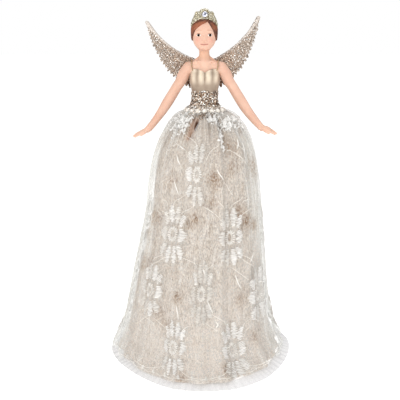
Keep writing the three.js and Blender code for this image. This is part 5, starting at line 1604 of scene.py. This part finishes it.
slope = (WBR(q - 0.5) - WBR(q + 0.5))
nr = np.stack([np.sin(th), -np.cos(th), slope], -1)
nr /= np.linalg.norm(nr, axis=1)[:, None]
pile = Pile()
p += nr * rng.uniform(0, 0.35, n)[:, None]
pale = rng.uniform(0, 1, n) < smooth(224.0, 220.8, q)
flakes(pile, p[~pale], nr[~pale], (0.42, 0.68), 0.55, [(64, 42, 26), (142, 110, 84), (194, 164, 138), (230, 210, 190), (255, 250, 242)], [0.23, 0.2, 0.18, 0.14, 0.25], rng)
flakes(pile, p[pale], nr[pale], (0.42, 0.68), 0.55, [(150, 124, 100), (204, 184, 164), (234, 224, 212), (255, 252, 248)], [0.16, 0.24, 0.3, 0.3], rng)
# white tufts caught behind the belt, thicker at the sides
n = 620
th = rng.uniform(-np.pi, np.pi, n)
th = th[rng.uniform(0, 1, n) < 0.22 + 0.78 * np.sin(th) ** 2]
n = len(th)
q = 218.2 + 3.4 * rng.uniform(0, 1, n) ** 1.3
R = WBR(q) + 0.5 + 1.3 * rng.uniform(0, 1, n)
nr = np.stack([np.sin(th), -np.cos(th), np.full(n, 0.45)], -1)
flakes(pile, np.stack([R * np.sin(th), -(R - 0.4) * np.cos(th), q], -1), nr, (0.45, 0.85), 0.8, [(196, 184, 172), (226, 220, 212), (244, 241, 236), (255, 254, 252)], [0.14, 0.22, 0.34, 0.3], rng)
# loose glitter caught between the pearls, and a dab below them at the front
n = 760
th = rng.uniform(-np.pi, np.pi, n)
q = rng.uniform(215.9, 219.8, n)
R = 15.2 + 1.6 * rng.uniform(0, 1, n)
nr = np.stack([np.sin(th), -np.cos(th), np.full(n, 0.5)], -1)
flakes(pile, np.stack([R * np.sin(th), -R * np.cos(th), q], -1), nr, (0.4, 0.68), 0.6, [(170, 148, 128), (214, 202, 190), (240, 234, 228), (255, 253, 250)], [0.1, 0.2, 0.32, 0.38], rng)
n = 150
th = rng.normal(0.02, 0.2, n)
sv = s_at(214.9 + rng.normal(0, 0.9, n))
flakes(pile, on_lace(th, sv, np.full(n, 0.3)), cloth_normal(th, sv, 0.0), (0.38, 0.62), 0.5, [(84, 60, 42), (140, 110, 84), (182, 152, 126), (226, 208, 188)], [0.3, 0.3, 0.25, 0.15], rng)
paint(pile.build("waistband_glitter", False), m_glit, "stand", "glitter")

# pearls on a thread
m_pearl = Mat("pearl", Roughness=0.22, Specular_IOR_Level=0.5, Coat_Weight=0.6, Coat_Roughness=0.08, Sheen_Weight=0.15)
pn = m_pearl.noise(m_pearl.place(None, (0.35, 0.35, 0.35)), 1.0, 2.0, 0.5)
m_pearl.to(m_pearl.ramp(pn, [(0.3, srgb(232, 224, 212)), (0.7, srgb(250, 246, 240))]), "Base Color")
pile = Pile()
rng = np.random.default_rng(19)
ring_pts = []
for i in range(17):
    a = i / 17 * 2 * np.pi
    R, zc = 15.6 + rng.uniform(-0.25, 0.25), 218.1 + rng.uniform(-0.4, 0.4)
    rad = 2.25 * rng.uniform(0.95, 1.05)
    pile.add(*ball((R * math.sin(a), -R * math.cos(a), zc), (rad, rad, rad * 0.96), 26, 16))
    ring_pts.append((R * math.sin(a), -R * math.cos(a), zc))
ring_pts.append(ring_pts[0])
thread = spline(ring_pts, 220)
pile.add(*path_tube(thread, 0.35, 6))
paint(pile.build("pearl_strand"), m_pearl, "stand", "pearl", "pearl_belt")

# ------------------------------------------------------------------ tiara and stone

def tiara_point(across, h, off):
    """A point of the tiara: sideways distance of its foot from the middle, height up the wall, distance out from its middle surface."""
    z = FOOT(np.abs(across))
    rx, fr = HRX(z) + 1.15, HFR(z) + 1.15
    y = -fr * np.sqrt(np.clip(1 - (across / rx) ** 2, 0.02, 1))
    nx, ny = across / rx ** 2, y / fr ** 2
    nn = np.hypot(nx, ny)
    return np.stack([across * (1 + 0.002 * h) + off * nx / nn, y + 0.1 * h + off * ny / nn, z + 0.985 * h], -1)


def tiara():
    nu, nv = 150, 16
    reach = np.linspace(-10.4, 10.4, nu)
    t = np.linspace(0, 1, nv)
    dd, tt = np.meshgrid(reach, t)
    h = CREST(np.abs(dd)) * tt - 0.5 * (1 - tt)
    bulge = 0.35 * np.cos(np.pi * (tt - 0.1)) * 0 + 0.25 * gauss(tt - 0.08, 0.1) + 0.2 * gauss(tt - 0.98, 0.1)
    fr = tiara_point(dd, h, 0.45 + bulge)
    bk = tiara_point(dd, h, -0.35)
    rows = np.concatenate([fr.transpose(1, 0, 2), bk.transpose(1, 0, 2)[:, ::-1]], 1)
    return closed_tube(rows, 2 * nv)


pts, faces = tiara()
m_tbed = Mat("tiara_bed", Roughness=0.5, Metallic=0.4)
tn = m_tbed.noise(m_tbed.place(None, (1.6, 1.6, 1.6)), 1.0, 3.0, 0.7)
m_tbed.to(m_tbed.ramp(tn, [(0.3, srgb(140, 124, 92)), (0.55, srgb(182, 170, 138)), (0.75, srgb(212, 205, 180))]), "Base Color")
m_tbed.bump(tn, 0.5, 0.0003)
paint(make("tiara_base", pts, faces), m_tbed, "head", "tiara", "tiara")
pile = Pile()
rng = np.random.default_rng(23)
n = 1500
dg = rng.uniform(-10.35, 10.35, n)
tt = rng.uniform(0.0, 1.0, n)
hh = CREST(np.abs(dg)) * tt
for off, sign in ((0.55, 1.0), (-0.42, -1.0)):
    p = tiara_point(dg, hh, off + (0.2 * gauss(tt - 0.08, 0.1) + 0.2 * gauss(tt - 0.98, 0.1)) * (sign > 0))
    nr = np.stack([0.075 * dg, -np.sqrt(np.clip(1 - (0.075 * dg) ** 2, 0.1, 1)), np.full(n, 0.2)], -1) * sign
    flakes(pile, p, nr, (0.24, 0.38), 0.4, [(128, 112, 82), (176, 165, 134), (200, 194, 168), (220, 217, 198), (255, 254, 247)], [0.16, 0.28, 0.28, 0.18, 0.1], rng)
paint(pile.build("tiara_glitter", False), m_glit, "head", "tiara")


def stone():
    """Round brilliant-cut stone in a rim of small points, facing forward from the tiara."""
    c = np.array([0.4, -4.3, 295.15])
    n = np.array([0.0, -0.985, 0.172])
    ex = np.array([1.0, 0, 0])
    ez = np.cross(ex, n)
    if ez[2] < 0:
        ez = -ez
    pts = []
    for r, k, h, ph in ((0.75, 8, 0.85, 0.5), (1.5, 8, 0.6, 0.0), (2.25, 16, 0.05, 0.0), (2.25, 16, -0.15, 0.0), (0.5, 8, -0.8, 0.0)):
        a = (np.arange(k) + ph) / k * 2 * np.pi
        pts.append(c + n * h + r * (np.cos(a)[:, None] * ex + np.sin(a)[:, None] * ez))
    v = np.concatenate(pts)
    ob = make("stone_tmp", v, [])
    bm = bmesh.new()
    bm.from_mesh(ob.data)
    bmesh.ops.convex_hull(bm, input=bm.verts)
    bm.to_mesh(ob.data)
    bm.free()
    ob.name = "tiara_stone"
    return ob, c, n, ex, ez


gem, gc, gn, gx, gz = stone()
m_gem = Mat("cut_glass", Roughness=0.06, Metallic=0.6, Specular_IOR_Level=0.8, Coat_Weight=1.0, Coat_Roughness=0.02)
# painted reflection: the stone is painted dark blue-grey at its middle and white at its rim, with bluish glints,
# standing in for the reflections in its facets
gv = points_of(gem) - gc
num_attr(gem, "out", np.hypot(gv @ gx, gv @ gz) / 2.25)
gm = m_gem.noise(m_gem.place(None, (0.9, 0.9, 0.9)), 1.0, 1.0, 0.5)
m_gem.to(m_gem.mix(m_gem.grey(gm, 0.36, 0.62, 0.0, 0.6), m_gem.ramp(m_gem.attr("out").outputs["Fac"], [(0.3, srgb(66, 70, 96)), (0.6, srgb(206, 208, 220)), (1.0, srgb(236, 236, 238))]), srgb(186, 192, 220)), "Base Color")
paint(gem, m_gem, "head", "gem", "tiara_gem")
pile = Pile()
for i in range(14):
    a = i / 14 * 2 * np.pi
    p = gc - gn * 0.1 + 2.45 * (math.cos(a) * gx + math.sin(a) * gz)
    pile.add(*ball(p, 0.34, 10, 6))
paint(pile.build("stone_rim"), m_tbed, "head", "tiara")

# ------------------------------------------------------------------ plain inner pieces


def cad_finish(slot_name, names, make_colour, **sockets):
    m = Mat(slot_name + "_finish", **sockets)
    make_colour(m)
    for nm in names:
        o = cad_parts[nm]
        o.data.materials.clear()
        o.data.materials.append(m.m)


def speckle(lo, hi, sc, bump=0.3):
    def f(m):
        v = m.noise(m.place(None, sc), 1.0, 4.0, 0.6)
        m.to(m.ramp(v, [(0.3, srgb(*lo)), (0.7, srgb(*hi))]), "Base Color")
        m.bump(v, bump, 0.0002)
    return f


cad_finish("card", ["card_cone"], speckle((160, 136, 104), (196, 172, 138), (0.6, 0.6, 0.25)), Roughness=0.9)
cad_finish("cork", ["waist_plug"], speckle((166, 122, 78), (206, 168, 122), (0.5, 0.5, 0.5)), Roughness=0.9)
cad_finish("dowel", ["support_dowel"], speckle((176, 138, 92), (212, 178, 130), (1.5, 1.5, 0.06)), Roughness=0.6)
cad_finish("wire", ["neck_pin", "shoulder_pin_left", "shoulder_pin_right", "wing_wire_left", "wing_wire_right"], speckle((150, 146, 140), (196, 192, 186), (1, 1, 1), 0.05), Roughness=0.3, Metallic=1.0)
